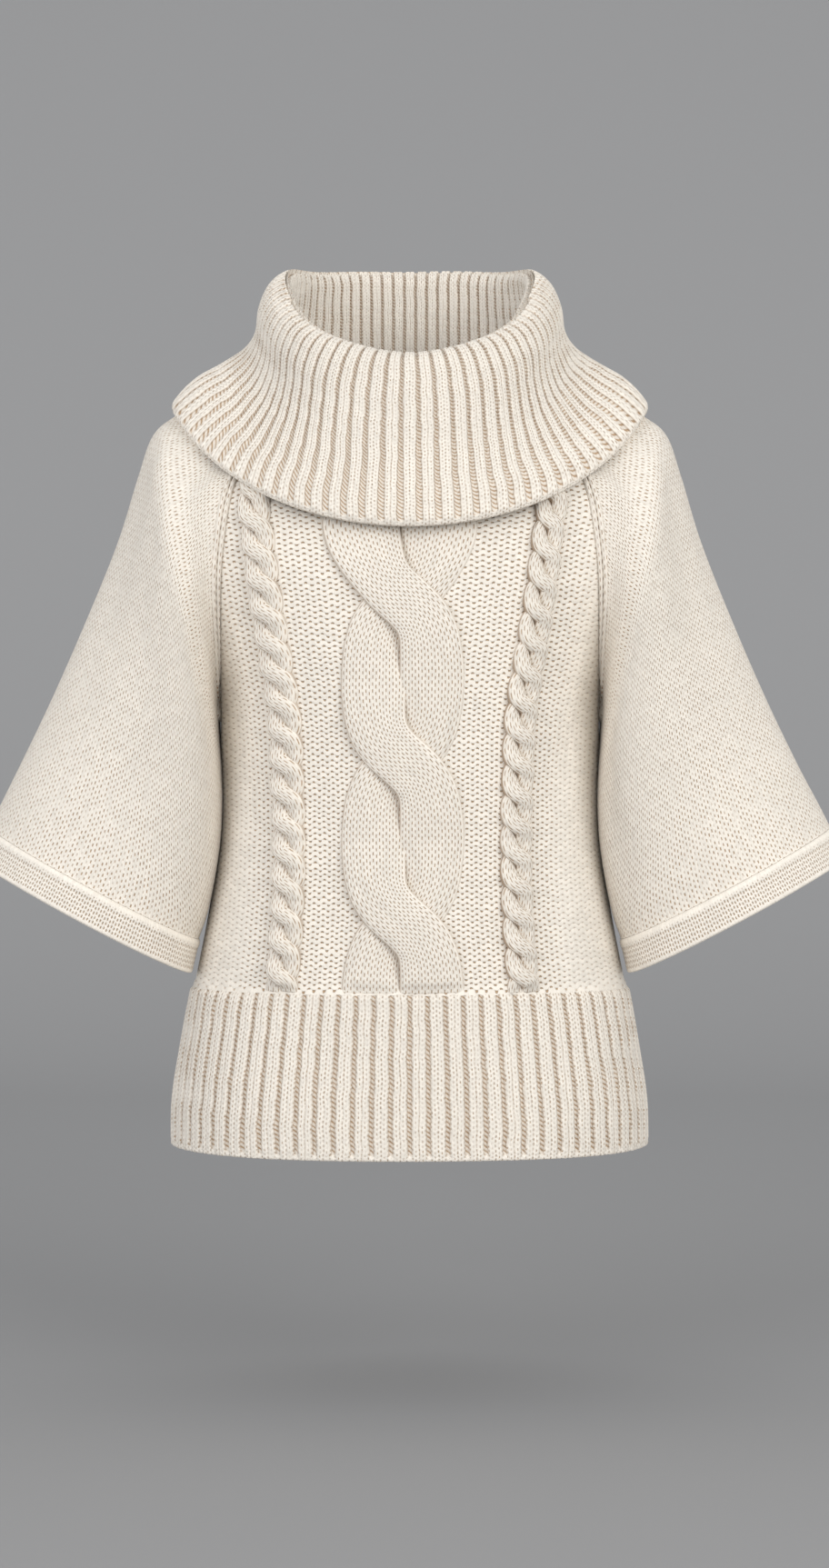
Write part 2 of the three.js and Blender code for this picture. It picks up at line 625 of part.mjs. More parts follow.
function waistband() {
  const level = (z) => ({
    ring: (angle) => ovalPoint(angle, z),
    normal: (angle) => normalAt(ovalPoint, angle, z, NORMAL_STEP, 1, ovalPoint(angle, z).setZ(0)).setZ(0).normalize(),
  });
  const outer = HEM_ROWS.map(({ z, rise }) => {
    const { ring, normal } = level(z);
    return ribbedRow(ring, normal, HEM_RIBS, 0, 0, RIB_RISE * rise);
  });
  const inner = HEM_ROWS.filter(({ inside }) => inside).map(({ z }) => {
    const { ring, normal } = level(z);
    return evenAngles(ring, HEM_RIBS, 0, 0).map((angle) => ring(angle).addScaledVector(normal(angle), -WALL));
  });
  return clothMesh("waistband", wallGeometry(outer, inner, true));
}

// Point of the collar's shown side. place counts the sections of its table.
const collarPoint = (place, angle) => ringPoint(blendRows(COLLAR, place), angle);

// Outward normal of the shown side, which faces inwards up the stand and outwards down the fall
function collarNormal(place, angle) {
  const within = clamp(place, 2 * NORMAL_STEP, COLLAR.length - 1 - 2 * NORMAL_STEP);
  const beside = angle + (Math.abs(Math.cos(angle)) < 2 * NORMAL_STEP ? 2 * NORMAL_STEP : 0);
  const outward = collarPoint(within, beside).setZ(0);
  const normal = normalAt(collarPoint, within, beside, NORMAL_STEP, NORMAL_STEP, outward);
  return within < COLLAR_FOLD_PLACE ? normal.negate() : normal;
}

function collar() {
  const last = COLLAR.length - 1;
  const lifted = (row, place) => row.map((point) => (place === 0 ? point.setZ(point.z + NECK_GAP) : point));
  const shown = COLLAR_SHOWN_ROWS.map(({ place, rise }) => {
    const ring = (angle) => collarPoint(place, angle);
    const normal = (angle) => collarNormal(place, angle);
    return lifted(ribbedRow(ring, normal, COLLAR_RIBS, 0.5, COLLAR[place].gather, RIB_RISE * rise), place);
  });
  const hidden = [...COLLAR_HIDDEN_PLACES, last].map((place) => {
    const ring = (angle) => collarPoint(place, angle);
    const angles = evenAngles(ring, COLLAR_RIBS / 2, 0.25, blendRows(COLLAR, place).gather);
    return lifted(angles.map((angle) => ring(angle).addScaledVector(collarNormal(place, angle), -WALL)), place);
  });
  return clothMesh("cowl_collar", wallGeometry(shown, hidden, true));
}

const sweater = new THREE.Group();
sweater.add(
  frontPanel(),
  backPanel(),
  sleeve("sleeve_left", 1),
  sleeve("sleeve_right", -1),
  cuff("cuff_left", 1),
  cuff("cuff_right", -1),
  waistband(),
  collar(),
);
export default sweater;
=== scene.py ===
import bpy
import numpy as np
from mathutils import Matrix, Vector


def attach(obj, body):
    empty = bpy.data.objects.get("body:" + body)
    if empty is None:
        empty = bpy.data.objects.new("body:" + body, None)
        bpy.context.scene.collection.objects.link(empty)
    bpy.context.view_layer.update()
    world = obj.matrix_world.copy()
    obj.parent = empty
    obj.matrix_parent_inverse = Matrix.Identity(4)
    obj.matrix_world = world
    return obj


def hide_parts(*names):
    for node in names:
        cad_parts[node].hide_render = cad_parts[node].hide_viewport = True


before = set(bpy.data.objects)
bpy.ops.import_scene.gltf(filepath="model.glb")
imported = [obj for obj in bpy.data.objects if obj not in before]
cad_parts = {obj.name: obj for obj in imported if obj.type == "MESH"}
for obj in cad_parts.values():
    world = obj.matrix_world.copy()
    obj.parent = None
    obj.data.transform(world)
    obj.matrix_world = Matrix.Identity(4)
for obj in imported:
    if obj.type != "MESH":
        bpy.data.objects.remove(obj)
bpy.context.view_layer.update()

MM = 0.001
ROOT = "root"


def table(*rows):
    """Rows of numbers, one for each section, fold or wave."""
    return np.array(rows, float)


# Camera and stage, in metres
CAMERA_PLACE = (0.0034, -2.2, -0.2916)
CAMERA_AIM = (0.0034, 0.0, -0.2916)
CAMERA_LENS = 68
CAMERA_SENSOR = 36
FLOOR_Z = -0.735
STAGE_HALF_WIDTH = 7.0
STAGE_FRONT = -3.3
STAGE_WALL = 4.6
STAGE_TOP = 4.5
STAGE_BEND = 2.6
# Stage grey from the front floor back to the wall, painted paler where lamps light less: y in metres and grey
STAGE_GREYS = ((-0.6, 0.345), (0.2, 0.34), (0.8, 0.355), (2.6, 0.385), (4.4, 0.405))

# Lights: name, place and size in metres, power in watts and colour
LIGHTS = (
    ("key", (2.7, -3.5, 0.8), 3.0, 108, (1.0, 0.985, 0.965)),
    ("fill", (-2.9, -3.4, 0.6), 3.0, 88, (0.98, 0.98, 1.0)),
)
LIGHT_AIM = (0, 0, -0.3)
SKY_COLOUR = (0.98, 0.99, 1.0, 1)
SKY_STRENGTH = 0.69

# Yarn's own colour on top; painted shade in stitch slits, and deeper in rib valleys and along cable borders
LIGHT = (0.84, 0.783, 0.697)
SHADE = (0.47, 0.32, 0.195)
DEEP_PAINTED_SHADE = (0.31, 0.20, 0.115)
SHEEN = (1.0, 0.97, 0.92, 1.0)

# Cloth
WALL = 2.6
SEAM_INSET = 0.25
# Rows above and below the level where a panel's rows turn straight, and columns, of its outside and inside
FRONT_POINTS = (14, 190, 200)
BACK_POINTS = (14, 150, 150)
PANEL_INSIDE_POINTS = (4, 30, 29)
FRONT_EVEN_Z = -78.0
BACK_EVEN_Z = -40.0
# The panels' lip and scalloped last row at the waistband
PANEL_LIP = 1.3
PANEL_LIP_LENGTH = 4.5
SCALLOP_START = 0.6
SCALLOP_DROP = 1.1
# Rows and columns of a sleeve, and how much closer its rows lie at the neck
SLEEVE_POINTS = (120, 190)
SLEEVE_INSIDE_POINTS = (30, 48)
SLEEVE_ROW_POWER = 1.15
CUFF_COLUMNS = 260
CUFF_INSIDE_COLUMNS = 96

# Levels
UNDERARM_Z = -225
BODY_BOTTOM_Z = -440
HEM_Z = -558
RAGLAN_TOP_ANGLE = np.radians(60)
OVAL_POWER = 2.2
NECK_BLEND = 42

# Sections of the body: z, half width at the side line, depth in front, depth behind
BODY = table(
    (30, 180, 44, 74),
    (-25, 190, 66, 88),
    (-60, 201, 84, 96),
    (-85, 200, 93, 100),
    (-112, 190, 101, 103),
    (-142, 173, 107, 104),
    (-170, 158, 109.5, 103),
    (-196, 148, 110, 101),
    (-225, 141, 109, 98),
    (-260, 140.2, 107, 95),
    (-300, 140, 105, 92.5),
    (-340, 142, 104, 92),
    (-391, 150, 105, 95),
    (-440, 159.5, 107, 99),
    (-482, 167, 110, 103),
    (-524, 173.5, 112, 106.5),
    (-558, 174.5, 112, 107),
)

# Front view of the raglan seam: z, x
RAGLAN = table(
    (20, 84),
    (-25, 92),
    (-50, 112),
    (-80, 126),
    (-112, 132),
    (-142, 135.5),
    (-196, 138.5),
    (-225, 141),
)

# Half width, depth in front, depth behind, and the heights every 30 degrees from the front round to the back
NECKLINE = np.array((100, 84, 76, -72, -62, -27, 13, 19, 20, 20), float)

# The collar's shown side, up the stand, over the fold and down the fall: as the neckline, and then how much
# the ribs gather at the sides
COLLAR = table(
    (98.5, 82.5, 74.5, -72, -62, -27, 13, 19, 20, 20, 0),
    (94, 80, 75, -38, -28, 4, 43, 49, 51, 52, 0.05),
    (89.5, 78.5, 76, -3, 7.5, 34, 71, 79, 83, 84, 0.1),
    (88.8, 79.5, 77, 8, 18.5, 43, 78, 88.5, 93, 94.5, 0.12),
    (92.5, 86, 83, 14, 24.5, 49, 83.5, 94, 98.5, 100, 0.12),
    (103, 94, 90.5, 8, 18.5, 43, 76.5, 87, 92, 94, 0.15),
    (110, 99, 96, -10, 1, 28, 62, 71, 76, 78, 0.22),
    (113, 102.5, 99, -34, -23, 7, 44, 51, 54, 55, 0.25),
    (122, 106, 102, -58, -45, -13, 30, 31, 30, 30, 0.2),
    (139, 112, 105, -80, -64, -27, 18, 13, 7, 5, 0.12),
    (160, 117, 108, -98, -81, -38, 6, -3, -14, -18, 0.06),
    (176, 120.5, 110, -106, -89, -44.5, -8, -17, -29, -34, 0),
    (178, 121, 110.5, -109.5, -92.5, -48, -14, -22, -34, -39, 0),
)
COLLAR_FOLD_PLACE = 3.6
COLLAR_RIBS = 72
HEM_RIBS = 68
RIB_RISE = 2.9
PER_RIB = 12
RIM_ROUNDING = 1.9
# Share of a rib that its valley takes at the free edge and further on, and between which rows that changes
COLLAR_VALLEY = (0.34, 0.20, 8, 30)
HEM_VALLEY = (0.20, 0.20, 0, 1)

# Sleeve sections: outer line x, z, inner line x, z, how far the inner line hangs forward, depth in front and
# behind
SLEEVE = table(
    (100, 13, 141, -225, 0, 80, 80),
    (141, 5, 141.3, -240, -6, 78, 79),
    (171.5, -17, 140.2, -258, -17, 76, 77),
    (190, -33, 138.4, -280, -27, 77.5, 76),
    (201, -63, 137.4, -305, -32, 75.5, 73),
    (216, -111, 138.8, -334, -33, 73, 70),
    (239, -168, 143, -362, -32, 69, 66),
    (270, -238, 148.5, -387, -29, 66, 63),
    (311.5, -323, 155, -405, -25, 65, 62),
)
ARMHOLE_NECK_SHARE = 0.15
ARMHOLE_FADE = 0.34
SLEEVE_TURN_LENGTH = 68
SLEEVE_LENGTH = 330
SLEEVE_FIRST = 0.0006
SHARP_ANGLE = np.radians(66)

# Outside of the turned cuff, from the sleeve down: drop, how far it stands proud. A smooth roll runs along
# its top.
CUFF_DROP = 25
CUFF_OUTSIDE = table(
    (0.2, 0.0),
    (0.7, 1.3),
    (1.9, 2.6),
    (4.0, 3.2),
    (5.6, 3.1),
    (7.0, 2.8),
    (12, 3.0),
    (18, 3.4),
    (23, 3.7),
    (24.4, 3.0),
    (25, 1.4),
)
CUFF_INSIDE_DROPS = (0.4, 8, 16, 24.2, 25)
CUFF_FLARE = 2
CUFF_INNER_FLARE = 5.5
CUFF_SIDE_SHARE = 0.6
CUFF_ROLL = 5.0
CUFF_PLAIN_ROW = 4.7

# Raglan seams: where the two columns of long stitches begin and end, as shares of half a turn round the
# armhole, how far they lie from the seam, and how far they stand proud and reach in
CHAIN_FROM = 0.17
CHAIN_TO = 0.985
CHAIN_START = 0.3
CHAIN_RISE = 1.7
CHAIN_LIFT = 0.15
CHAIN_DEPTH = 1.0

# Cables. A strand is in front while it crosses from left to right, going down.
CABLE_SHIFT_X = -5
ROPE_OFFSET = table(
    (-33, 68),
    (-60, 96),
    (-85, 106),
    (-115, 103),
    (-150, 98.5),
    (-200, 90.5),
    (-240, 84),
    (-290, 81.5),
    (-340, 80.5),
    (-390, 82),
    (-440, 86),
)
ROPE = {
    "swing": 5.5,
    "half": 6.2,
    "waist": 0,
    "rise": 5.3,
    "lift": 3.6,
    "tilt": 2.4,
    "pitch": 21.6,
    "crossing": -429.2,
    "turned": 1.8,
    "top": -60,
    "points": (14, 401),
    "stitch": (3.5, 6.0),
    # How strongly painted shade darkens a strand's left and right border
    "dark": (0.85, 0.55),
    "slit": 0.9,
    "line": 0.5,
}
BRAID = {
    "swing": 20.6,
    "half": 23,
    "waist": 3.4,
    "rise": 4.3,
    "lift": 3.7,
    "tilt": 3.4,
    "pitch": 114,
    "crossing": -161,
    "turned": 1.9,
    "top": -86,
    "points": (34, 261),
    "stitch": (4.6, 4.8),
    # How strongly painted shade darkens a strand's left and right border
    "dark": (0.6, 0.3),
    "slit": 1.0,
    "line": 0.14,
}
# Where the braid fans out under the collar
BRAID_SPREAD = {"z": -103, "reach": 48, "swing": 7.2, "half": 4.8, "shift": -2}
BRAID_BED = {"half": 30, "edge": 14, "depth": 2.2}
ROPE_BED = {"half": 11, "edge": 5, "depth": 1.0}
# Distance of the ropes from the middle for which the ground's columns are as wide as their stitch
ROPE_EVEN_OFFSET = 86.0
# Between how many columns from the middle the ground's stitches turn flatter, past the ropes
FLAT_GROUND = (27, 35)
# Powers that round a strand's left and right side, and the height left and the length of its end
STRAND_LEFT = (4.2, 0.5)
STRAND_RIGHT = (2.6, 0.72)
STRAND_END_HEIGHT = 0.35
STRAND_END_LENGTH = 9
STRAND_LOWEST = 2.0
STRAND_UNDER = 0.8

# Soft creases, in lines: both ends, half width and height, a trough's height being negative. On the panels
# the ends are x and z; on a sleeve they are the distances round from its outer line, to the front, and down
# from the neck. The left and right sleeves have their own.
FRONT_CREASES = table(
    (-131, -215, -112, -318, 10, -1.7),
    (-119, -262, -121, -420, 13, 1.3),
    (-57, -318, -50, -436, 10, -1.2),
    (-52, -128, -66, -196, 12, 1.0),
    (130, -222, 103, -300, 11, -1.8),
    (110, -322, 119, -432, 13, 1.4),
    (50, -188, 58, -262, 15, -1.6),
    (47, -360, 62, -430, 11, -1.0),
)
BACK_CREASES = table(
    (-128, -205, -70, -268, 12, -2.4),
    (-116, -250, -84, -330, 13, 1.6),
    (-88, -320, -96, -438, 14, -2.0),
    (-30, -300, -42, -425, 15, 1.7),
    (-64, -40, -88, -130, 13, -1.6),
    (6, -70, -4, -190, 18, 1.5),
    (22, -250, 14, -400, 13, -2.1),
    (66, -30, 92, -150, 12, -1.8),
    (131, -212, 62, -300, 12, -2.6),
    (120, -262, 92, -350, 12, 1.7),
    (78, -330, 90, -436, 13, -1.9),
)
SLEEVE_CREASES = {
    "left": table(
        (30, 60, 62, 215, 14, -1.5),
        (78, 90, 100, 300, 17, 1.6),
        (-18, 120, 6, 305, 16, -1.7),
        (134, 96, 112, 205, 12, -1.9),
        (-60, 70, -92, 230, 15, -2.0),
        (-110, 110, -96, 300, 16, 1.9),
        (-142, 84, -128, 190, 12, -2.2),
        (176, 140, 168, 270, 13, -1.6),
    ),
    "right": table(
        (26, 85, 50, 260, 15, -1.7),
        (70, 60, 92, 190, 15, 1.4),
        (104, 190, 96, 310, 14, -1.5),
        (-10, 60, -22, 200, 16, 1.5),
        (140, 90, 122, 180, 12, -2.0),
        (-66, 90, -80, 290, 17, -2.1),
        (-120, 70, -108, 210, 14, 1.8),
        (-168, 130, -160, 260, 13, -1.8),
    ),
}

# Soft waves round the waistband, the collar and the cuffs: where, how far down the piece as a share, half
# width in turns, half height as a share, and height
BAND_WAVES = table(
    (0.05, 0.75, 0.045, 0.6, -1.2),
    (0.14, 0.6, 0.05, 0.7, 1.1),
    (0.21, 0.8, 0.04, 0.6, -1.3),
    (0.32, 0.7, 0.05, 0.7, 1.5),
    (0.41, 0.8, 0.045, 0.6, -2.2),
    (0.52, 0.65, 0.05, 0.6, 1.6),
    (0.62, 0.8, 0.04, 0.7, -2.0),
    (0.71, 0.6, 0.05, 0.6, 1.4),
    (0.80, 0.8, 0.04, 0.6, -1.3),
    (0.89, 0.7, 0.05, 0.7, 1.2),
)
COLLAR_WAVES = table(
    (0.03, 0.66, 0.05, 0.09, -1.6),
    (0.155, 0.60, 0.06, 0.10, -2.8),
    (0.24, 0.74, 0.03, 0.12, 1.8),
    (0.33, 0.64, 0.05, 0.12, -2.4),
    (0.43, 0.76, 0.04, 0.12, 1.9),
    (0.51, 0.66, 0.045, 0.10, -2.2),
    (0.585, 0.78, 0.035, 0.12, 1.7),
    (0.68, 0.63, 0.05, 0.12, -2.5),
    (0.77, 0.75, 0.03, 0.12, 1.6),
    (0.85, 0.60, 0.06, 0.10, -2.8),
    (0.20, 0.22, 0.05, 0.12, 1.4),
    (0.47, 0.20, 0.05, 0.12, 1.8),
    (0.74, 0.24, 0.05, 0.12, -1.5),
)
COLLAR_SETTLE = 4.2
CUFF_WAVES = table(
    (0.06, 0.5, 0.04, 1.5, 1.0),
    (0.17, 0.5, 0.035, 1.5, -1.1),
    (0.33, 0.5, 0.05, 1.5, 0.9),
    (0.47, 0.5, 0.04, 1.5, -1.2),
    (0.66, 0.5, 0.05, 1.5, 1.2),
    (0.81, 0.5, 0.04, 1.5, -1.0),
)

# Stitch sizes
PLAIN_STITCH = (6.0, 4.3)
PURL_STITCH = (3.6, 4.05)
HEM_ROW = 3.4
COLLAR_ROW = 2.7
CUFF_STITCH = (4.4, 3.4)
SEAM_STITCH = (4.8, 6.0)


def smooth(value):
    share = np.clip(value, 0, 1)
    return share * share * (3 - 2 * share)


def lerp(first, last, share):
    return first + (last - first) * share


def through(keys, values, place):
    """A table's values at a place, by cubic pieces that follow the neighbouring rows, held at the ends."""
    keys = np.asarray(keys, float)
    values = np.asarray(values, float)
    if keys[0] > keys[-1]:
        keys, values = keys[::-1], values[::-1]
    wide = values.ndim > 1
    gaps = np.diff(keys)
    doubles = keys[2:] - keys[:-2]
    if wide:
        gaps, doubles = gaps[:, None], doubles[:, None]
    slopes = np.empty_like(values)
    slopes[0] = (values[1] - values[0]) / gaps[0]
    slopes[-1] = (values[-1] - values[-2]) / gaps[-1]
    slopes[1:-1] = (values[2:] - values[:-2]) / doubles
    x = np.clip(place, keys[0], keys[-1])
    i = np.clip(np.searchsorted(keys, x, side="right") - 1, 0, len(keys) - 2)
    width = keys[i + 1] - keys[i]
    t = (x - keys[i]) / width
    if wide:
        t, width = t[..., None], width[..., None]
    near = (2 * t**3 - 3 * t**2 + 1) * values[i] + (t**3 - 2 * t**2 + t) * width * slopes[i]
    far = (3 * t**2 - 2 * t**3) * values[i + 1] + (t**3 - t**2) * width * slopes[i + 1]
    return near + far


def point(x, y, z):
    return np.stack(np.broadcast_arrays(x, y, z), axis=-1)


def unit(vectors):
    return vectors / np.maximum(np.linalg.norm(vectors, axis=-1, keepdims=True), 1e-9)


def height_towards(heights, angle):
    """Height in a direction, 0 in front and pi behind, by the cosine series through the named heights."""
    last = heights.shape[-1] - 1
    order = np.arange(last + 1)
    ends = np.where((order == 0) | (order == last), 0.5, 1.0)
    waves = np.cos(np.pi * np.outer(order, order) / last)
    parts = ((heights * ends) @ waves) * (2 * ends / last)
    return np.sum(parts * np.cos(order * np.asarray(angle)[..., None]), axis=-1)


def ring_point(row, angle):
    depth = np.where(np.cos(angle) > 0, row[..., 1], row[..., 2])
    height = height_towards(row[..., 3:10], angle)
    return point(row[..., 0] * np.sin(angle), -depth * np.cos(angle), height)


def oval_point(angle, z):
    angle, z = np.broadcast_arrays(np.asarray(angle, float), np.asarray(z, float))
    row = through(BODY[:, 0], BODY[:, 1:], z)
    depth = np.where(np.cos(angle) > 0, row[..., 1], row[..., 2])

    def power(value):
        return np.sign(value) * np.abs(value) ** (2 / OVAL_POWER)

    return point(row[..., 0] * power(np.sin(angle)), -depth * power(np.cos(angle)), z)


def oval_angle(x, z):
    half = through(BODY[:, 0], BODY[:, 1], z)
    return np.sign(x) * np.arcsin(np.clip(np.abs(x) / half, 0, 1) ** (OVAL_POWER / 2))


def panel_edge(z):
    above = through(RAGLAN[:, 0], RAGLAN[:, 1], z)
    below = through(BODY[:, 0], BODY[:, 1], z)
    return np.where(np.asarray(z) > UNDERARM_Z, above, below)


def rope_offset(z):
    return through(ROPE_OFFSET[:, 0], ROPE_OFFSET[:, 1], z)


def neck_point(share, towards):
    sweep = np.asarray(share, float) * RAGLAN_TOP_ANGLE
    return ring_point(NECKLINE, sweep if towards < 0 else np.pi - sweep)


def panel_point(share, z, towards):
    share, z = np.broadcast_arrays(np.asarray(share, float), np.asarray(z, float))
    neck = neck_point(share, towards)
    angle = share * oval_angle(panel_edge(z), z)
    oval = oval_point(angle if towards < 0 else np.pi - angle, z)
    below = smooth((neck[..., 2] - z) / NECK_BLEND)
    x = lerp(neck[..., 0], oval[..., 0], below)
    y = lerp(neck[..., 1], oval[..., 1], below)
    return point(x, y, z)


def panel_top(share, towards):
    return neck_point(share, towards)[..., 2]


def normal_of(surface, a, b, step_a, step_b, outside):
    """Unit normal of a surface, turned to the side of the vectors outside."""
    along_a = surface(a + step_a, b) - surface(a - step_a, b)
    along_b = surface(a, b + step_b) - surface(a, b - step_b)
    normal = unit(np.cross(along_a, along_b))
    flip = np.sum(normal * outside, axis=-1, keepdims=True) < 0
    return np.where(flip, -normal, normal)


def panel_normal(share, z, towards):
    within = np.clip(share, -0.985, 0.985)
    level = point(1.0, 1.0, 0.0) * panel_point(within, z, towards)
    return normal_of(lambda a, b: panel_point(a, b, towards), within, z, 0.01, 1.0, level)


def armhole_point(turn):
    """Loop that a sleeve is sewn to. turn is 0 on the shoulder, positive in front, pi at the underarm."""
    turn = np.asarray(turn, float)
    along = np.abs(turn) / np.pi
    near_neck = np.clip(along / ARMHOLE_NECK_SHARE, 0, 1)
    down = np.clip((along - ARMHOLE_NECK_SHARE) / (1 - ARMHOLE_NECK_SHARE), 0, 1)
    found = []
    for towards in (-1, 1):
        corner = RAGLAN_TOP_ANGLE if towards < 0 else np.pi - RAGLAN_TOP_ANGLE
        top = ring_point(NECKLINE, lerp(np.pi / 2, corner, near_neck))
        z = lerp(panel_top(1.0, towards), UNDERARM_Z, (1 - np.cos(np.pi * down)) / 2)
        seam = panel_point(1.0, z, towards)
        found.append(np.where((along < ARMHOLE_NECK_SHARE)[..., None], top, seam))
    return np.where((turn >= 0)[..., None], found[0], found[1])


def sleeve_oval(row, turn):
    across = (1 - np.cos(turn)) / 2
    depth = np.where(turn >= 0, row[..., 5], row[..., 6])
    x = lerp(row[..., 0], row[..., 2], across)
    z = lerp(row[..., 1], row[..., 3], across)
    return point(x, row[..., 4] * across - depth * np.sin(turn), z)


def sleeve_point(along, turn):
    along, turn = np.broadcast_arrays(np.asarray(along, float), np.asarray(turn, float))
    turn = (turn + np.pi) % (2 * np.pi) - np.pi
    row = through(np.arange(len(SLEEVE)), SLEEVE, along * (len(SLEEVE) - 1))
    regular = sleeve_oval(row, turn)
    sewn = armhole_point(turn) - sleeve_oval(SLEEVE[0], turn)
    return regular + sewn * (1 - smooth(along / ARMHOLE_FADE))[..., None]


def sleeve_normal(along, turn):
    place = np.clip(along, 0.01, 0.99)
    row = through(np.arange(len(SLEEVE)), SLEEVE, place * (len(SLEEVE) - 1))
    middle = point((row[..., 0] + row[..., 2]) / 2, row[..., 4] / 2, (row[..., 1] + row[..., 3]) / 2)
    return normal_of(sleeve_point, place, turn, 0.01, 0.01, sleeve_point(place, turn) - middle)


def collar_row(place):
    return through(np.arange(len(COLLAR)), COLLAR, place)


def collar_point(place, angle):
    place, angle = np.broadcast_arrays(np.asarray(place, float), np.asarray(angle, float))
    return ring_point(collar_row(place), angle)


def collar_normal(place, angle):
    """Normal of the shown side, which faces inwards up the stand and outwards down the fall."""
    within = np.clip(place, 0.03, len(COLLAR) - 1.03)
    outside = collar_point(within, angle) * point(1.0, 1.0, 0.0)
    normal = normal_of(collar_point, within, angle, 0.03, 0.012, outside)
    return np.where((within < COLLAR_FOLD_PLACE)[..., None], -normal, normal)


def turns_round(columns):
    """Evenly spaced angles of a sleeve's columns, from one side of its inner line round to the other."""
    return np.pi - 2 * np.pi * (np.arange(columns) + 0.5) / columns


def even_angles(ring, share):
    """Angles that cut a closed ring at these shares of its length, starting in front."""
    fine = np.linspace(0, 2 * np.pi, 721)
    points = ring(fine)
    steps = np.linalg.norm(np.diff(points, axis=0), axis=1)
    lengths = np.concatenate([[0], np.cumsum(steps)])
    turns = np.floor(share)
    return np.interp((share - turns) * lengths[-1], lengths, fine) + turns * 2 * np.pi


# Meshes


class Net:
    """A net of points with the stitch coordinates of each. A round net joins each row's ends, and its stitch
    coordinates then have one column more."""

    def __init__(self, points, u, v, around=False):
        self.points = np.asarray(points, float)
        self.around = around
        rows, columns = self.points.shape[:2]
        wide = columns + 1 if around else columns
        self.u = np.broadcast_to(u, (rows, wide))
        self.v = np.broadcast_to(v, (rows, wide))
        self.numbers = np.arange(rows * columns).reshape(rows, columns)

    def faces(self, start, flip):
        columns = self.numbers.shape[1]
        wide = np.arange(columns if self.around else columns - 1)
        i = np.arange(self.numbers.shape[0] - 1)[:, None]
        order = [(0, 0), (1, 0), (1, 1), (0, 1)]
        if flip:
            order = order[::-1]
        number = [self.numbers[i + di, (wide + dj) % columns] + start for di, dj in order]
        u = [self.u[i + di, wide + dj] for di, dj in order]
        v = [self.v[i + di, wide + dj] for di, dj in order]
        corners = np.stack(number, axis=-1).reshape(-1, 4)
        coordinates = np.stack([np.stack(u, -1), np.stack(v, -1)], axis=-1).reshape(-1, 4, 2)
        return corners, coordinates

    def edge(self, which, start):
        """Corners along one border of the net, in order: number, u and v."""
        rows, columns = self.numbers.shape
        across, down = np.arange(self.u.shape[1]), np.arange(rows)
        places = {
            "first": (0, across),
            "last": (rows - 1, across),
            "left": (down, 0),
            "right": (down, columns - 1),
        }
        i, j = np.broadcast_arrays(*places[which])
        return list(zip(self.numbers[i, j % columns] + start, self.u[i, j], self.v[i, j]))


def rim_faces(first, second, flip):
    """Triangles between two borders that run side by side and may differ in number."""
    faces = []
    i = j = 0
    last_i, last_j = len(first) - 1, len(second) - 1
    while i < last_i or j < last_j:
        step_first = j == last_j or (i < last_i and (i + 1) / last_i <= (j + 1) / last_j)
        a, b = first[i], second[j]
        if step_first:
            i += 1
            c = first[i]
        else:
            j += 1
            c = second[j]
        faces.append((a, b, c) if flip else (a, c, b))
    return faces


def closed_mesh(name, outer, inner, material):
    """Closed shell between an outer and an inner net, which may differ in how fine they are."""
    count = outer.numbers.size
    points = np.concatenate([outer.points.reshape(-1, 3), inner.points.reshape(-1, 3)]) * MM
    faces = []
    coordinates = []
    for net, start, flip in ((outer, 0, False), (inner, count, True)):
        corners, stitches = net.faces(start, flip)
        faces.extend(corners.tolist())
        coordinates.append(stitches.reshape(-1, 2))
    borders = [("first", False), ("last", True)]
    if not outer.around:
        borders += [("left", True), ("right", False)]
    for which, flip in borders:
        for face in rim_faces(outer.edge(which, 0), inner.edge(which, count), flip):
            faces.append([int(corner[0]) for corner in face])
            coordinates.append(np.array([corner[1:] for corner in face]))
    mesh = bpy.data.meshes.new(name)
    mesh.from_pydata(points.tolist(), [], faces)
    layer = mesh.uv_layers.new(name="stitch")
    layer.data.foreach_set("uv", np.concatenate(coordinates).astype(np.float32).ravel())
    if volume_of(mesh) < 0:
        mesh.flip_normals()
    mesh.shade_smooth()
    mesh.set_sharp_from_angle(angle=SHARP_ANGLE)
    mesh.materials.append(material)
    piece = bpy.data.objects.new(name, mesh)
    bpy.context.scene.collection.objects.link(piece)
    return piece


def volume_of(mesh):
    places = np.empty(len(mesh.vertices) * 3, np.float32)
    mesh.vertices.foreach_get("co", places)
    places = places.reshape(-1, 3).astype(float)
    mesh.calc_loop_triangles()
    corners = np.empty(len(mesh.loop_triangles) * 3, np.int32)
    mesh.loop_triangles.foreach_get("vertices", corners)
    a, b, c = (places[corners.reshape(-1, 3)[:, k]] for k in range(3))
    return float(np.sum(a * np.cross(b, c)) / 6)


def lengths_along(points, axis):
    """Distances run along one direction of a net of points, from its first line."""
    steps = np.linalg.norm(np.diff(points, axis=axis), axis=-1)
    pad = [(0, 0), (0, 0)]
    pad[axis] = (1, 0)
    return np.pad(np.cumsum(steps, axis=axis), pad)


# Materials


def fill(node, inputs):
    """Give inputs of a node, by name or number, a Number, another node's output or a fixed value."""
    for slot, value in inputs.items():
        if isinstance(value, Number):
            value = value.socket
        if isinstance(value, bpy.types.NodeSocket):
            node.id_data.links.new(value, node.inputs[slot])
        else:
            node.inputs[slot].default_value = value
    return node


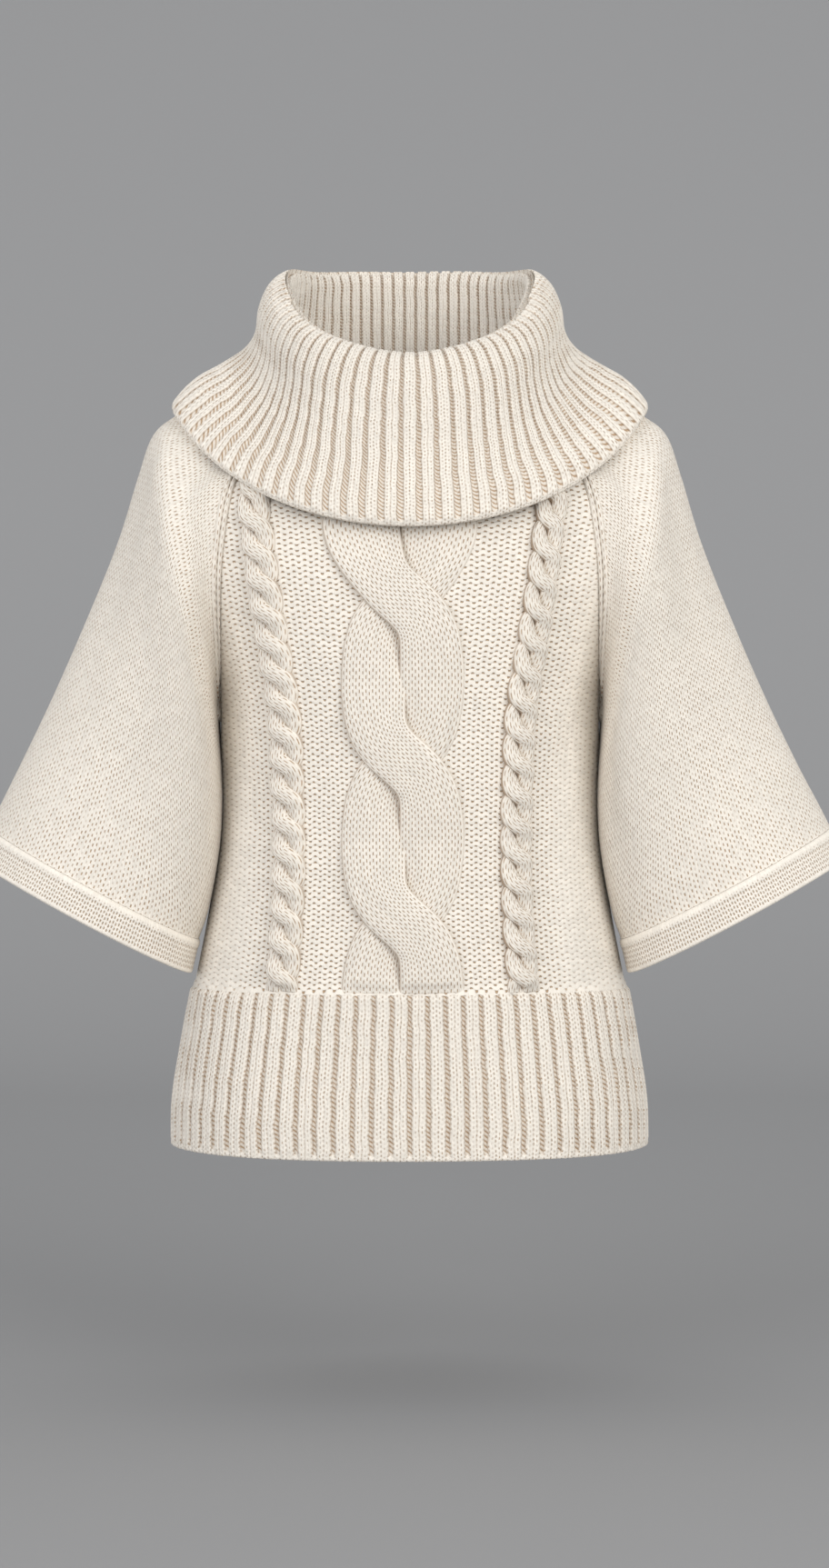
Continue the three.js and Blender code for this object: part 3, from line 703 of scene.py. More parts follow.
class Number:
    """A number in a material's node tree that takes part in plain arithmetic."""

    def __init__(self, tree, socket):
        self.tree = tree
        self.socket = socket

    def math(self, kind, *others):
        node = self.tree.nodes.new("ShaderNodeMath")
        node.operation = kind
        fill(node, dict(enumerate((self, *others))))
        return Number(self.tree, node.outputs[0])

    def __add__(self, other):
        return self.math("ADD", other)

    def __sub__(self, other):
        return self.math("SUBTRACT", other)

    def __mul__(self, other):
        return self.math("MULTIPLY", other)

    def __truediv__(self, other):
        return self.math("DIVIDE", other)

    def fraction(self):
        return self.math("FRACT")

    def floor(self):
        return self.math("FLOOR")

    def size(self):
        return self.math("ABSOLUTE")

    def power(self, other):
        return self.math("POWER", other)

    def sine(self):
        return self.math("SINE")

    def upper(self, other):
        return self.math("MAXIMUM", other)

    def eased(self, start, end):
        """0 up to start and 1 from end, smooth between them."""
        node = self.tree.nodes.new("ShaderNodeMapRange")
        node.interpolation_type = "SMOOTHSTEP"
        fill(node, {"Value": self, "From Min": start, "From Max": end})
        return Number(self.tree, node.outputs["Result"])

    def flipped(self):
        """1 minus this."""
        return self * -1 + 1


def stitch_place(tree):
    """The stitch coordinates: columns across and rows along."""
    layer = tree.nodes.new("ShaderNodeUVMap")
    layer.uv_map = "stitch"
    parts = fill(tree.nodes.new("ShaderNodeSeparateXYZ"), {0: layer.outputs["UV"]})
    return Number(tree, parts.outputs["X"]), Number(tree, parts.outputs["Y"])


def joined(tree, x, y):
    """A vector of two Numbers."""
    return fill(tree.nodes.new("ShaderNodeCombineXYZ"), {"X": x, "Y": y}).outputs[0]


def noise(tree, place, scale, detail):
    inputs = {"Vector": place, "Scale": scale, "Detail": detail}
    return fill(tree.nodes.new("ShaderNodeTexNoise"), inputs)


def bent_place(tree, amount):
    """Stitch coordinates that wander a little, as hand tension does."""
    u, v = stitch_place(tree)
    wander = noise(tree, joined(tree, u * 0.21, v * 0.21), 1.0, 2.0)
    parts = fill(tree.nodes.new("ShaderNodeSeparateColor"), {0: wander.outputs["Color"]})
    shift_u = (Number(tree, parts.outputs[0]) - 0.5) * amount
    shift_v = (Number(tree, parts.outputs[1]) - 0.5) * (amount * 1.4)
    return u + shift_u, v + shift_v


def stitch_noise(tree, column, row):
    """One even random number for each stitch."""
    node = tree.nodes.new("ShaderNodeTexWhiteNoise")
    node.noise_dimensions = "2D"
    fill(node, {"Vector": joined(tree, column, row)})
    return Number(tree, node.outputs["Value"])


def surface_noise(tree, scale, detail):
    """Noise in the object's own space, with scale per metre."""
    place = tree.nodes.new("ShaderNodeTexCoord").outputs["Object"]
    return Number(tree, noise(tree, place, scale, detail).outputs["Fac"])


def knit_columns(tree, u, v, lean=2.4, slit=1.1, line=0.10, even=0.55):
    """Stocking stitch: chains of V stitches that lean, with short slits between their legs and between the
    chains, joined by a fainter line. The slits are as deep as slit, and uneven down to the share even of it.
    Like every pattern it returns the height, a random number for each stitch and its painted shade, here
    none."""
    across = (u.fraction() - 0.5).size() * 2
    place = v - across * lean
    from_end = (place.fraction() - 0.5).size()
    in_middle = (v.fraction() - 0.5).size().eased(0.42, 0.12)
    at_border = ((v - lean).fraction() - 0.5).size().eased(0.42, 0.12)
    middle_slit = across.eased(0.27, 0.05) * (in_middle * (1 - line) + line)
    border_slit = across.eased(0.73, 0.95) * (at_border * (1 - line) + line)
    crease = from_end.eased(0.36, 0.5) * 0.22
    rounding = ((across - 0.5).size() * 2).power(2.0) * 0.3
    random = stitch_noise(tree, (u * 2).floor(), place.floor())
    uneven = stitch_noise(tree, (u * 2 + 0.5).floor(), v.floor()) * (1 - even) + even
    hollow = (middle_slit.upper(border_slit) * uneven * slit).upper(crease).upper(rounding)
    return hollow.flipped(), random, None


def purl_rows(tree, u, v):
    """The purl ground: wavy rows of bumps, with small holes at the waves' turns. u counts half waves from the
    middle. Past the ropes the rows are flatter."""
    wave = (u * np.pi).sine()
    rows = v + wave * 0.23
    from_end = (rows.fraction() - 0.5).size()
    random = stitch_noise(tree, u.floor(), rows.floor())
    holes = wave.size().eased(0.45, 0.97)
    flatter = u.size().eased(*FLAT_GROUND) * 0.42
    depth = (random * 0.28 + holes * (random * -0.26 + 0.96) + 0.16) * flatter.flipped()
    line = from_end.eased(0.28, 0.46) * depth
    rounding = (from_end * 2).power(2.0) * 0.34
    return line.upper(rounding).flipped(), random, None


def rib_columns(valley_shares):
    """Ribs of two knit columns with a purl valley between them, which ends before the free edge. u counts
    ribs, and v rows from that edge."""
    at_edge, further, first_row, last_row = valley_shares

    def pattern(tree, u, v):
        across = u.fraction() - 0.5
        side = across.size() * 2
        past = side - v.eased(first_row, last_row) * (at_edge - further) + (at_edge - 1)
        open_rows = v.eased(1.0, 1.9)
        valley = past.eased(-0.04, 0.05) * open_rows
        column, row = across / 0.36 + 1.0, v + u.floor() * 0.37
        height, random, _ = knit_columns(tree, column, row, lean=1.4, slit=0.86, line=0.3, even=0.6)
        hatch = (((u + 0.5).fraction() * 3.2 + v).fraction() - 0.5).size().eased(0.44, 0.14)
        purl = hatch * 0.44 + 0.22 + (random - 0.5) * 0.12
        height = height * valley.flipped() + purl * valley
        # Painted shade: a little over the valley, a dark line along its borders and short dashes between a
        # rib's two columns
        border = past.size().eased(0.11, 0.0) * open_rows
        dashes = side.eased(0.13, 0.02) * (v.fraction() - 0.5).size().eased(0.40, 0.16)
        shade = valley * 0.06 + border * (hatch * -0.4 + 1.0) * 0.68 + dashes * 0.34
        return height, random, shade

    return pattern


def strand_columns(cable):
    """Stocking stitch of a cable's strand, with a plain column at both borders. Shade is painted onto both
    borders, where they dip into the cloth, more on the left."""
    at_left, at_right = cable["dark"]
    columns = cable["half"] / cable["stitch"][0]

    def pattern(tree, u, v):
        height, random, _ = knit_columns(tree, u, v, slit=cable["slit"], line=cable["line"], even=0.82)
        aside = u / columns
        selvedge = aside.size().eased(0.90, 0.94)
        height = height * selvedge.flipped() + selvedge * 0.9
        # Painted shade along the strand's borders, stronger on the left, which faces away from the key light
        shade = (aside * -1).eased(0.92, 1.0) * at_left + aside.eased(0.95, 1.0) * at_right
        return height, random, shade

    return pattern


def cuff_columns(tree, u, v):
    """Fine stocking stitch between the cuff's smooth roll and its smooth lower edge. v is 0 where the roll
    ends and negative above it."""
    height, random, _ = knit_columns(tree, u, v, lean=1.2, slit=1.2, line=0.3, even=0.8)
    plain = v.eased(0.2, -0.6).upper(v.eased(CUFF_PLAIN_ROW, CUFF_PLAIN_ROW + 0.7)) * 0.8
    return height * plain.flipped() + plain * 0.84, random, None


def knit_material(name, pattern, depth=0.0007, wander=0.25):
    """Cream yarn: stitch pattern with shade painted into its low places, stitch to stitch and broad
    variation, fibres and sheen.
    depth is that of the stitches in metres, and wander how far they stray from their places."""
    material = bpy.data.materials.new(name)
    material.use_nodes = True
    tree = material.node_tree
    tree.nodes.clear()
    shader = tree.nodes.new("ShaderNodeBsdfPrincipled")
    fill(tree.nodes.new("ShaderNodeOutputMaterial"), {"Surface": shader.outputs[0]})
    u, v = bent_place(tree, wander)
    height, random, painted_shade = pattern(tree, u, v)
    fibre = surface_noise(tree, 1400.0, 3.0)
    broad = surface_noise(tree, 16.0, 2.0)
    middle = surface_noise(tree, 120.0, 2.0)
    # Painted shade: the lower a place in the stitch pattern, the closer its colour comes to the slit shade
    ramp = fill(tree.nodes.new("ShaderNodeValToRGB"), {0: height})
    ramp.color_ramp.interpolation = "EASE"
    for stop, place, colour in zip(ramp.color_ramp.elements, (0.12, 0.60), (SHADE, LIGHT)):
        stop.position = place
        stop.color = (*colour, 1)
    # Tone of the yarn that differs at random, stitch to stitch and across the cloth
    shade = (random - 0.5) * 0.10 + (broad - 0.5) * 0.10 + (fibre - 0.5) * 0.16
    shade = shade + (middle - 0.5) * 0.10 + 1.0
    tint = tree.nodes.new("ShaderNodeVectorMath")
    tint.operation = "SCALE"
    fill(tint, {0: ramp.outputs["Color"], "Scale": shade})
    colour = tint.outputs["Vector"]
    # Painted shade from the pattern, mixed in towards the deep brown
    if painted_shade is not None:
        mix = tree.nodes.new("ShaderNodeMix")
        mix.data_type = "RGBA"
        colour = fill(mix, {"Factor": painted_shade, "A": colour, "B": (*DEEP_PAINTED_SHADE, 1)}).outputs["Result"]
    relief = {"Distance": depth, "Strength": 1.0, "Height": height + (fibre - 0.5) * 0.35}
    bump = fill(tree.nodes.new("ShaderNodeBump"), relief)
    inputs = {
        "Base Color": colour,
        "Roughness": (fibre - 0.5) * 0.2 + 0.86,
        "Normal": bump.outputs["Normal"],
        "Sheen Weight": 0.25,
        "Sheen Roughness": 0.5,
        "Sheen Tint": SHEEN,
        "Specular IOR Level": 0.18,
    }
    fill(shader, inputs)
    return material


plain_knit = knit_material("plain_knit", knit_columns)
braid_knit = knit_material("braid_knit", strand_columns(BRAID))
rope_knit = knit_material("rope_knit", strand_columns(ROPE))
seam_knit = knit_material("seam_knit", knit_columns)
purl_knit = knit_material("purl_knit", purl_rows, depth=0.0010, wander=0.8)
hem_knit = knit_material("hem_knit", rib_columns(HEM_VALLEY))
collar_knit = knit_material("collar_knit", rib_columns(COLLAR_VALLEY))
cuff_knit = knit_material("cuff_knit", cuff_columns)


# Shells


def drawn_in(distance, radius):
    """How far cloth draws in near a free edge so that the rim is round. distance is from the edge."""
    share = np.clip(1 - distance / radius, 0, 1)
    return (WALL / 2) * (1 - np.sqrt(np.clip(1 - share * share, 0, 1)))


def panel(name, towards, counts, stitch, material, lanes=None):
    """Shell of the front or back panel, from the neckline down to the waistband. lanes gives the places of
    columns that don't simply follow the stitch."""
    bottom = BODY_BOTTOM_Z + SEAM_INSET
    even_from = FRONT_EVEN_Z if towards < 0 else BACK_EVEN_Z

    def side(upper, lower, columns, stands):
        """Base, points and stitch coordinates of one side, which stands proud of the base by stands(z)."""
        share = np.linspace(-1, 1, columns)
        top = panel_top(share, towards) - SEAM_INSET
        z = [lerp(top, even_from, k / upper) for k in range(upper)]
        z += [np.full_like(top, lerp(even_from, bottom, k / lower)) for k in range(lower + 1)]
        z = np.array(z)
        base = panel_point(share, z, towards)
        height = panel_folds(base, towards) + cable_beds(base, towards) + stands(z)
        run = lengths_along(base, 1)
        middle = columns // 2
        u = (run - run[:, middle : middle + 1]) / stitch[0]
        return base, base + panel_normal(share, z, towards) * height[..., None], u, z / stitch[1]

    def lip(z):
        return PANEL_LIP * smooth(1 - (z - bottom) / PANEL_LIP_LENGTH)

    def inside(z):
        return -WALL

    base, outer, u, v = side(*counts, lip)
    if lanes is not None:
        u = lanes(base[..., 0], base[..., 2])
    outer[-1, :, 2] = bottom - SCALLOP_START - SCALLOP_DROP * np.abs(np.sin(np.pi * u[-1]))
    outer_net = Net(outer, u, v)
    _, inner, u, v = side(*PANEL_INSIDE_POINTS, inside)
    inner[-1, :, 2] = bottom
    return closed_mesh(name, outer_net, Net(inner, u, v), material)


def crease_height(x, z, creases):
    """Sum of soft troughs and ridges that fade towards the ends of their lines."""
    total = np.zeros(np.shape(x))
    for x0, z0, x1, z1, half_width, height in creases:
        way_x, way_z = x1 - x0, z1 - z0
        along = np.clip(((x - x0) * way_x + (z - z0) * way_z) / (way_x**2 + way_z**2), 0, 1)
        away = np.hypot(x - x0 - along * way_x, z - z0 - along * way_z)
        swell = 0.45 + 0.55 * np.sin(np.pi * (0.1 + 0.75 * along))
        total += height * swell * np.exp(-((away / half_width) ** 2))
    return total


def wave_height(turn, down, waves):
    """Sum of soft bulges and dips round a tube. turn counts from 0 to 1 all round."""
    total = np.zeros(np.broadcast_shapes(np.shape(turn), np.shape(down)))
    for at_turn, at_down, half_turn, half_down, height in waves:
        aside = (turn - at_turn + 0.5) % 1 - 0.5
        total += height * np.exp(-((aside / half_turn) ** 2) - ((down - at_down) / half_down) ** 2)
    return total


def seam_fade(x, z):
    """1 inside a panel and 0 at its sides and at the waistband."""
    from_side = 1 - np.abs(x) / panel_edge(z)
    return smooth(from_side / 0.09) * smooth((z - BODY_BOTTOM_Z) / 14)


def panel_folds(places, towards):
    """Soft creases of the panels, which fade out at the seams."""
    x, z = places[..., 0], places[..., 2]
    if towards < 0:
        return seam_fade(x, z) * crease_height(x, z, FRONT_CREASES)
    below_neck = smooth((panel_top(x / panel_edge(z), towards) - z) / 20)
    return seam_fade(x, z) * below_neck * crease_height(x, z, BACK_CREASES)


def cable_beds(places, towards):
    """How the front's ground lies deeper under the cables."""
    x, z = places[..., 0], places[..., 2]
    if towards > 0:
        return np.zeros(x.shape)
    beside = np.abs(x - CABLE_SHIFT_X)
    under_braid = smooth((BRAID_BED["half"] - beside) / BRAID_BED["edge"])
    under_rope = smooth((ROPE_BED["half"] - np.abs(beside - rope_offset(z))) / ROPE_BED["edge"])
    return seam_fade(x, z) * (-BRAID_BED["depth"] * under_braid - ROPE_BED["depth"] * under_rope)


def front_columns(x, z):
    """Columns of the front's ground, which fan out with the ropes."""
    return (x - CABLE_SHIFT_X) * (ROPE_EVEN_OFFSET / rope_offset(z)) / PURL_STITCH[0]


def front_surface(x, z):
    """Point and normal of the front panel at an x and z of the front view."""
    edge = panel_edge(z)
    share = np.clip(oval_angle(x, z) / oval_angle(edge, z), -1, 1)
    base = panel_point(share, z, -1)
    normal = panel_normal(share, z, -1)
    return base + normal * panel_folds(base, -1)[..., None], normal


def twist_phase(cable, z, turn):
    """Angle of a strand's twist at a height, which grows by half a turn from crossing to crossing."""
    return np.pi * (cable["crossing"] - z) / cable["pitch"] + turn + np.pi / 2


def twist_centre(cable, swing, z, turn):
    """Sideways place of a strand, which crosses quicker than it turns."""
    bent = np.cos(twist_phase(cable, z, turn)) * cable["turned"]
    return swing * np.tanh(bent) / np.tanh(cable["turned"])


def strand(name, cable, turn, side, material):
    """One strand of a cable, a closed and domed band that lies on the front panel. side is 0 for the braid
    and -1 or 1 for a rope. It is steeper on its left side, and sinks where the other strand covers it."""
    across_count, along_count = cable["points"]
    top = cable["top"]
    z = np.linspace(top, BODY_BOTTOM_Z + 0.6, along_count)
    opened = smooth((z - BRAID_SPREAD["z"]) / BRAID_SPREAD["reach"] + 1) * (side == 0)
    phase = twist_phase(cable, z, turn)
    swing = cable["swing"] + BRAID_SPREAD["swing"] * opened
    middle = CABLE_SHIFT_X + side * rope_offset(z) + BRAID_SPREAD["shift"] * opened
    x = middle + twist_centre(cable, swing, z, turn)
    half = cable["half"] - cable["waist"] * np.sin(phase) ** 2 * (1 - opened) + BRAID_SPREAD["half"] * opened
    way = unit(np.stack([np.gradient(x), np.gradient(z)], axis=-1))
    beside = np.stack([-way[:, 1], way[:, 0]], axis=-1)
    quarter = np.pi / 2 * 0.98
    s = np.sin(np.linspace(-quarter, quarter, across_count)) / np.sin(quarter)
    across = s * half[:, None]
    px = x[:, None] + beside[:, :1] * across
    pz = np.clip(z[:, None] + beside[:, 1:] * across, BODY_BOTTOM_Z + 0.4, top + 2)
    base, normal = front_surface(px, pz)
    in_front = np.clip(-np.sin(phase), 0, 1)[:, None]
    behind = np.clip(np.sin(phase), 0, 1)[:, None]
    from_middle = twist_centre(cable, 1.0, z, turn)[:, None]
    covered = behind * np.clip(1 - 0.9 * (np.abs(from_middle) + s * from_middle), 0, 1)
    end = lerp(STRAND_END_HEIGHT, 1, smooth((z - BODY_BOTTOM_Z) / STRAND_END_LENGTH))[:, None]
    left, right = ((1 - np.abs(s) ** a) ** b for a, b in (STRAND_LEFT, STRAND_RIGHT))
    dome = np.where(s < 0, left, right) * cable["rise"]
    height = (dome + cable["lift"] * (in_front - covered) - cable["tilt"] * covered) * end
    outer = base + normal * np.maximum(height, -STRAND_LOWEST)[..., None]
    run = np.concatenate([[0], np.cumsum(np.hypot(np.diff(x), np.diff(z)))])
    u = np.broadcast_to(s * cable["half"] / cable["stitch"][0], px.shape)
    v = np.broadcast_to(-run[:, None] / cable["stitch"][1], px.shape)
    lines = np.append(np.arange(0, along_count - 1, 4), along_count - 1)
    under = (base - normal * (STRAND_LOWEST + STRAND_UNDER))[lines]
    return closed_mesh(name, Net(outer, u, v), Net(under, u[lines], v[lines]), material)


def cables():
    """The braid and both ropes, two strands each."""
    pieces = []
    for name, cable, side, material in (
        ("braid", BRAID, 0, braid_knit),
        ("rope_right", ROPE, -1, rope_knit),
        ("rope_left", ROPE, 1, rope_knit),
    ):
        pieces.append(strand(f"{name}_first", cable, 0, side, material))
        pieces.append(strand(f"{name}_second", cable, np.pi, side, material))
    return pieces


def sleeve(name, side):
    """Shell of a sleeve. Its columns run down from the shoulder and its rows lie along the cuff."""

    def net(rows, columns, proud):
        along = lerp(SLEEVE_FIRST, 1.0, (np.arange(rows + 1) / rows) ** SLEEVE_ROW_POWER)[:, None]
        turn = turns_round(columns)
        base = sleeve_point(along, turn)
        height = sleeve_folds(along, turn, side) + proud
        points = base + sleeve_normal(along, turn) * height[..., None]
        return Net(points * (side, 1, 1), *sleeve_stitches(base), around=True)

    return closed_mesh(name, net(*SLEEVE_POINTS, 0), net(*SLEEVE_INSIDE_POINTS, -WALL), plain_knit)


def sleeve_stitches(base):
    """Stitch coordinates by distance from the outer line and from the cuff."""
    closed = np.concatenate([base, base[:, :1]], axis=1)
    round_run = lengths_along(closed, 1)
    middle = round_run.shape[1] // 2
    u = (round_run - round_run[:, middle : middle + 1]) / PLAIN_STITCH[0]
    down = lengths_along(closed, 0)
    v = (down[-1:] - down) / PLAIN_STITCH[1]
    return u, v


def sleeve_folds(along, turn, side):
    """Soft creases of a sleeve, which fade out at its seam and at the cuff."""
    along, turn = np.broadcast_arrays(along, turn)
    turn = (turn + np.pi) % (2 * np.pi) - np.pi
    creases = SLEEVE_CREASES["left" if side > 0 else "right"]
    fade = smooth(along / 0.12) * smooth((1 - along) / 0.05)
    return fade * crease_height(turn * SLEEVE_TURN_LENGTH, along * SLEEVE_LENGTH, creases)


def seam_chain(name, side, towards):
    """Two columns of long stitches on the sleeve's side of a raglan seam."""
    share = np.linspace(CHAIN_FROM, CHAIN_TO, 200)[:, None]
    turn = towards * share * np.pi
    start = sleeve_point(SLEEVE_FIRST, turn)
    ahead = unit(sleeve_point(SLEEVE_FIRST + 0.02, turn) - start)
    normal = sleeve_normal(0.012, turn)
    s = np.linspace(0, 1, 17)[None, :]
    fade = smooth(np.minimum(share - CHAIN_FROM, CHAIN_TO - share) / 0.04)
    ridge = np.abs(np.sin(2 * np.pi * s)) ** 0.7 * CHAIN_RISE
    base = start + ahead * (CHAIN_START + s * 2 * SEAM_STITCH[0])[..., None]
    outer = base + normal * (ridge * fade + CHAIN_LIFT)[..., None]
    under = base - normal * CHAIN_DEPTH
    u = np.broadcast_to(s * 2, outer.shape[:2])
    v = np.broadcast_to(-lengths_along(start, 0) / SEAM_STITCH[1], outer.shape[:2])
    nets = [Net(net * (side, 1, 1), u, v) for net in (outer, under)]
    return closed_mesh(name, *nets, seam_knit)


def sleeve_end():
    """The sleeve table's last row, its chord's direction and length, and the way that the cuff drops."""
    end = SLEEVE[-1]
    chord = np.array([end[2] - end[0], 0, end[3] - end[1]])
    length = np.linalg.norm(chord)
    chord = chord / length
    return end, chord, length, np.array([-chord[2], 0, chord[0]])


def cuff_loop(drop, proud, turn):
    """Loops round the cuff, so far down from the sleeve's end and so far proud of the sleeve."""
    end, chord, length, down = sleeve_end()
    flare = np.where(np.cos(turn) < 0, CUFF_INNER_FLARE * drop / CUFF_DROP, 0)
    reach = length / 2 + proud * CUFF_SIDE_SHARE + flare
    middle = np.array([(end[0] + end[2]) / 2, 0, (end[1] + end[3]) / 2])
    base = middle - chord * (reach * np.cos(turn))[..., None] + down * np.asarray(drop + 0 * turn)[..., None]
    depth = np.where(turn >= 0, end[5], end[6]) + proud
    y = end[4] * (1 - np.cos(turn)) / 2 - depth * np.sin(turn)
    return point(base[..., 0], y, base[..., 2])


def cuff(name, side):
    """Shell of a turned cuff."""

    def net(columns, drop, proud):
        turn = turns_round(columns)
        waves = wave_height(turn / (2 * np.pi) * side, drop / CUFF_DROP, CUFF_WAVES) * smooth(drop / 6)
        points = cuff_loop(drop, proud + waves, turn)
        closed = np.concatenate([points, points[:, :1]], axis=1)
        middle = len(drop) // 2
        u = lengths_along(closed, 1)[middle : middle + 1] / CUFF_STITCH[0]
        v = (drop - CUFF_ROLL) / CUFF_STITCH[1]
        return Net(points * (side, 1, 1), u, v, around=True)

    places = np.arange(len(CUFF_OUTSIDE))
    outside = through(places, CUFF_OUTSIDE, np.linspace(0, places[-1], 31))
    outer = net(CUFF_COLUMNS, outside[:, :1], outside[:, 1:])
    drop = table(*CUFF_INSIDE_DROPS)[:, None]
    proud = lerp(-WALL, CUFF_FLARE - WALL, drop / CUFF_DROP)
    proud[-1] = CUFF_FLARE - WALL * 0.6
    return closed_mesh(name, outer, net(CUFF_INSIDE_COLUMNS, drop, proud), cuff_knit)


def rib_profile(u, valley):
    """Height across the ribs, 0 in the valley and 1 on top, with a slight dip between its two columns. valley
    is the share of a rib that its valley takes."""
    side = np.abs(u - np.floor(u) - 0.5) * 2
    plateau = smooth((1.12 - valley - side) / 0.22)
    dip = 0.16 * np.exp(-((side / 0.13) ** 2))
    shoulder = 0.10 * smooth((side - 0.35) / 0.4)
    return plateau * (1 - dip - shoulder)


def valley_share(shares, rows):
    """Share of a rib that its valley takes, so many rows from the free edge."""
    at_edge, further, first_row, last_row = shares
    return lerp(at_edge, further, smooth((rows - first_row) / (last_row - first_row)))


def rows_from_edge(net):
    """Distance of each row of a net from its last row, along its first column."""
    run = np.concatenate([[0], np.cumsum(np.linalg.norm(np.diff(net[:, 0], axis=0), axis=-1))])
    return (run[-1] - run)[:, None]


def ribbed(name, tube, ribs, material):
    """Shell of a ribbed tube. Its ring and normal take a place and angles, its waves a place and turns, and
    its distances are from its free edge."""

    def rows(where, counts, relief):
        net = []
        for k, place in enumerate(where):
            even = (counts + tube["first"]) / ribs
            share = even + tube["gather"](place) * np.sin(4 * np.pi * even) / (4 * np.pi)
            angle = even_angles(lambda a: tube["ring"](place, a), share)
            height = relief(k, counts) + tube["waves"](place, even)
            net.append(tube["ring"](place, angle) + tube["normal"](place, angle) * height[:, None])
        return np.array(net)

    def outer_relief(k, counts):
        near = tube["distance"][k]
        valley = valley_share(tube["valley"], near / tube["row"])
        beads = 0.14 * np.cos(2 * np.pi * 3 * counts) * smooth((3.4 - near) / 1.6)
        rim = 0.72 + 0.16 * np.cos(2 * np.pi * (counts - 0.5)) + beads
        height = lerp(rim, rib_profile(counts, valley), smooth((near - 2.8) / 2.6))
        return height * tube["rise"][k] * RIB_RISE - drawn_in(near, RIM_ROUNDING)

    def inner_relief(k, counts):
        return np.full_like(counts, -WALL)

    def net(places, per_rib, relief):
        u = np.arange(ribs * per_rib + 1) / per_rib
        points = rows(places, u[:-1], relief)
        return Net(points, u, rows_from_edge(points) / tube["row"], around=True)

    outer = net(tube["places"], PER_RIB, outer_relief)
    return closed_mesh(name, outer, net(tube["inner_places"], 2, inner_relief), material)


def waistband():
    """Shell of the waistband, which hangs straight down from the body."""

    def ring(z, angle):
        return oval_point(angle, z)

    def normal(z, angle):
        level = oval_point(angle, z) * point(1.0, 1.0, 0.0)
        found = normal_of(oval_point, angle, z + 0 * angle, 0.01, 1.0, level)
        return unit(found * point(1.0, 1.0, 0.0))

    top = BODY_BOTTOM_Z - SEAM_INSET
    near_seam = [0, 0.8, 1.8, 3, 5]
    near_hem = [110, 112, 113.5, 115, 116.2, 117, 117.6, top - HEM_Z]
    z = top - np.concatenate([near_seam, np.linspace(8, 108, 22), near_hem])
    rise = lerp(0.35, 1, smooth((top - z) / 3.5))
    inner = top - np.array([0, 30, 60, 90, 114, top - HEM_Z])

    def waves(z, turns):
        down = (top - z) / (top - HEM_Z)
        return wave_height(turns, down, BAND_WAVES) * smooth(down / 0.2)

    def gather(z):
        return 0.0

    tube = {
        "ring": ring,
        "normal": normal,
        "waves": waves,
        "gather": gather,
        "first": 0,
        "places": z,
        "inner_places": inner,
        "distance": z - HEM_Z,
        "rise": rise,
        "row": HEM_ROW,
        "valley": HEM_VALLEY,
    }
    return ribbed("waistband_cloth", tube, HEM_RIBS, hem_knit)


def collar():
    """Shell of the collar, from its seam up the stand, over the fold and down to its free edge."""
    last = len(COLLAR) - 1
    near_edge = [11.15, 11.3, 11.45, 11.6, 11.72, 11.82, 11.9, 11.96, 12]
    places = np.concatenate([np.linspace(0, 11, 67), near_edge])
    lines = collar_point(places[:, None], np.linspace(0, 2 * np.pi, 25)[None, :])
    steps = np.linalg.norm(np.diff(lines, axis=0), axis=-1).mean(axis=1)
    run = np.concatenate([[0], np.cumsum(steps)])
    rise = smooth(places / 0.8)
    inner = np.append(np.linspace(0, 11.6, 34), last)

    def gather(place):
        return float(collar_row(np.asarray(place))[10])

    def ring(place, angle):
        return collar_point(place, angle) + point(0, 0, 0.5 * (place < 0.01))

    def normal(place, angle):
        return collar_normal(place + 0 * angle, angle)

    def waves(place, turns):
        down = place / last
        settled = COLLAR_SETTLE * smooth((place - 9.6) / 2.2)
        return wave_height(turns, down, COLLAR_WAVES) * smooth(down / 0.12) - settled

    tube = {
        "ring": ring,
        "normal": normal,
        "waves": waves,
        "gather": gather,
        "first": 0.5,
        "places": places,
        "inner_places": inner,
        "distance": run[-1] - run,
        "rise": rise,
        "row": COLLAR_ROW,
        "valley": COLLAR_VALLEY,
    }
    return ribbed("cowl_collar_cloth", tube, COLLAR_RIBS, collar_knit)


front = panel("front_panel_cloth", -1, FRONT_POINTS, PURL_STITCH, purl_knit, front_columns)
back = panel("back_panel_cloth", 1, BACK_POINTS, PLAIN_STITCH, plain_knit)
twists = cables()
sleeves = {"left": sleeve("sleeve_left_cloth", 1), "right": sleeve("sleeve_right_cloth", -1)}
cuffs = {"left": cuff("cuff_left_cloth", 1), "right": cuff("cuff_right_cloth", -1)}
band = waistband()
cowl = collar()
chains = {}
for where, side in (("left", 1), ("right", -1)):
    chains[where] = [seam_chain(f"seam_front_{where}", side, 1), seam_chain(f"seam_back_{where}", side, -1)]

everything = [front, back, band, cowl, *twists, *sleeves.values(), *cuffs.values()]
everything += chains["left"] + chains["right"]
for piece in everything:
    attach(piece, ROOT)

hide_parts("front_panel")
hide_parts("back_panel")
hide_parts("waistband")
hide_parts("cowl_collar")
for where in ("left", "right"):
    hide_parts(f"sleeve_{where}")
    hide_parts(f"cuff_{where}")


# Studio


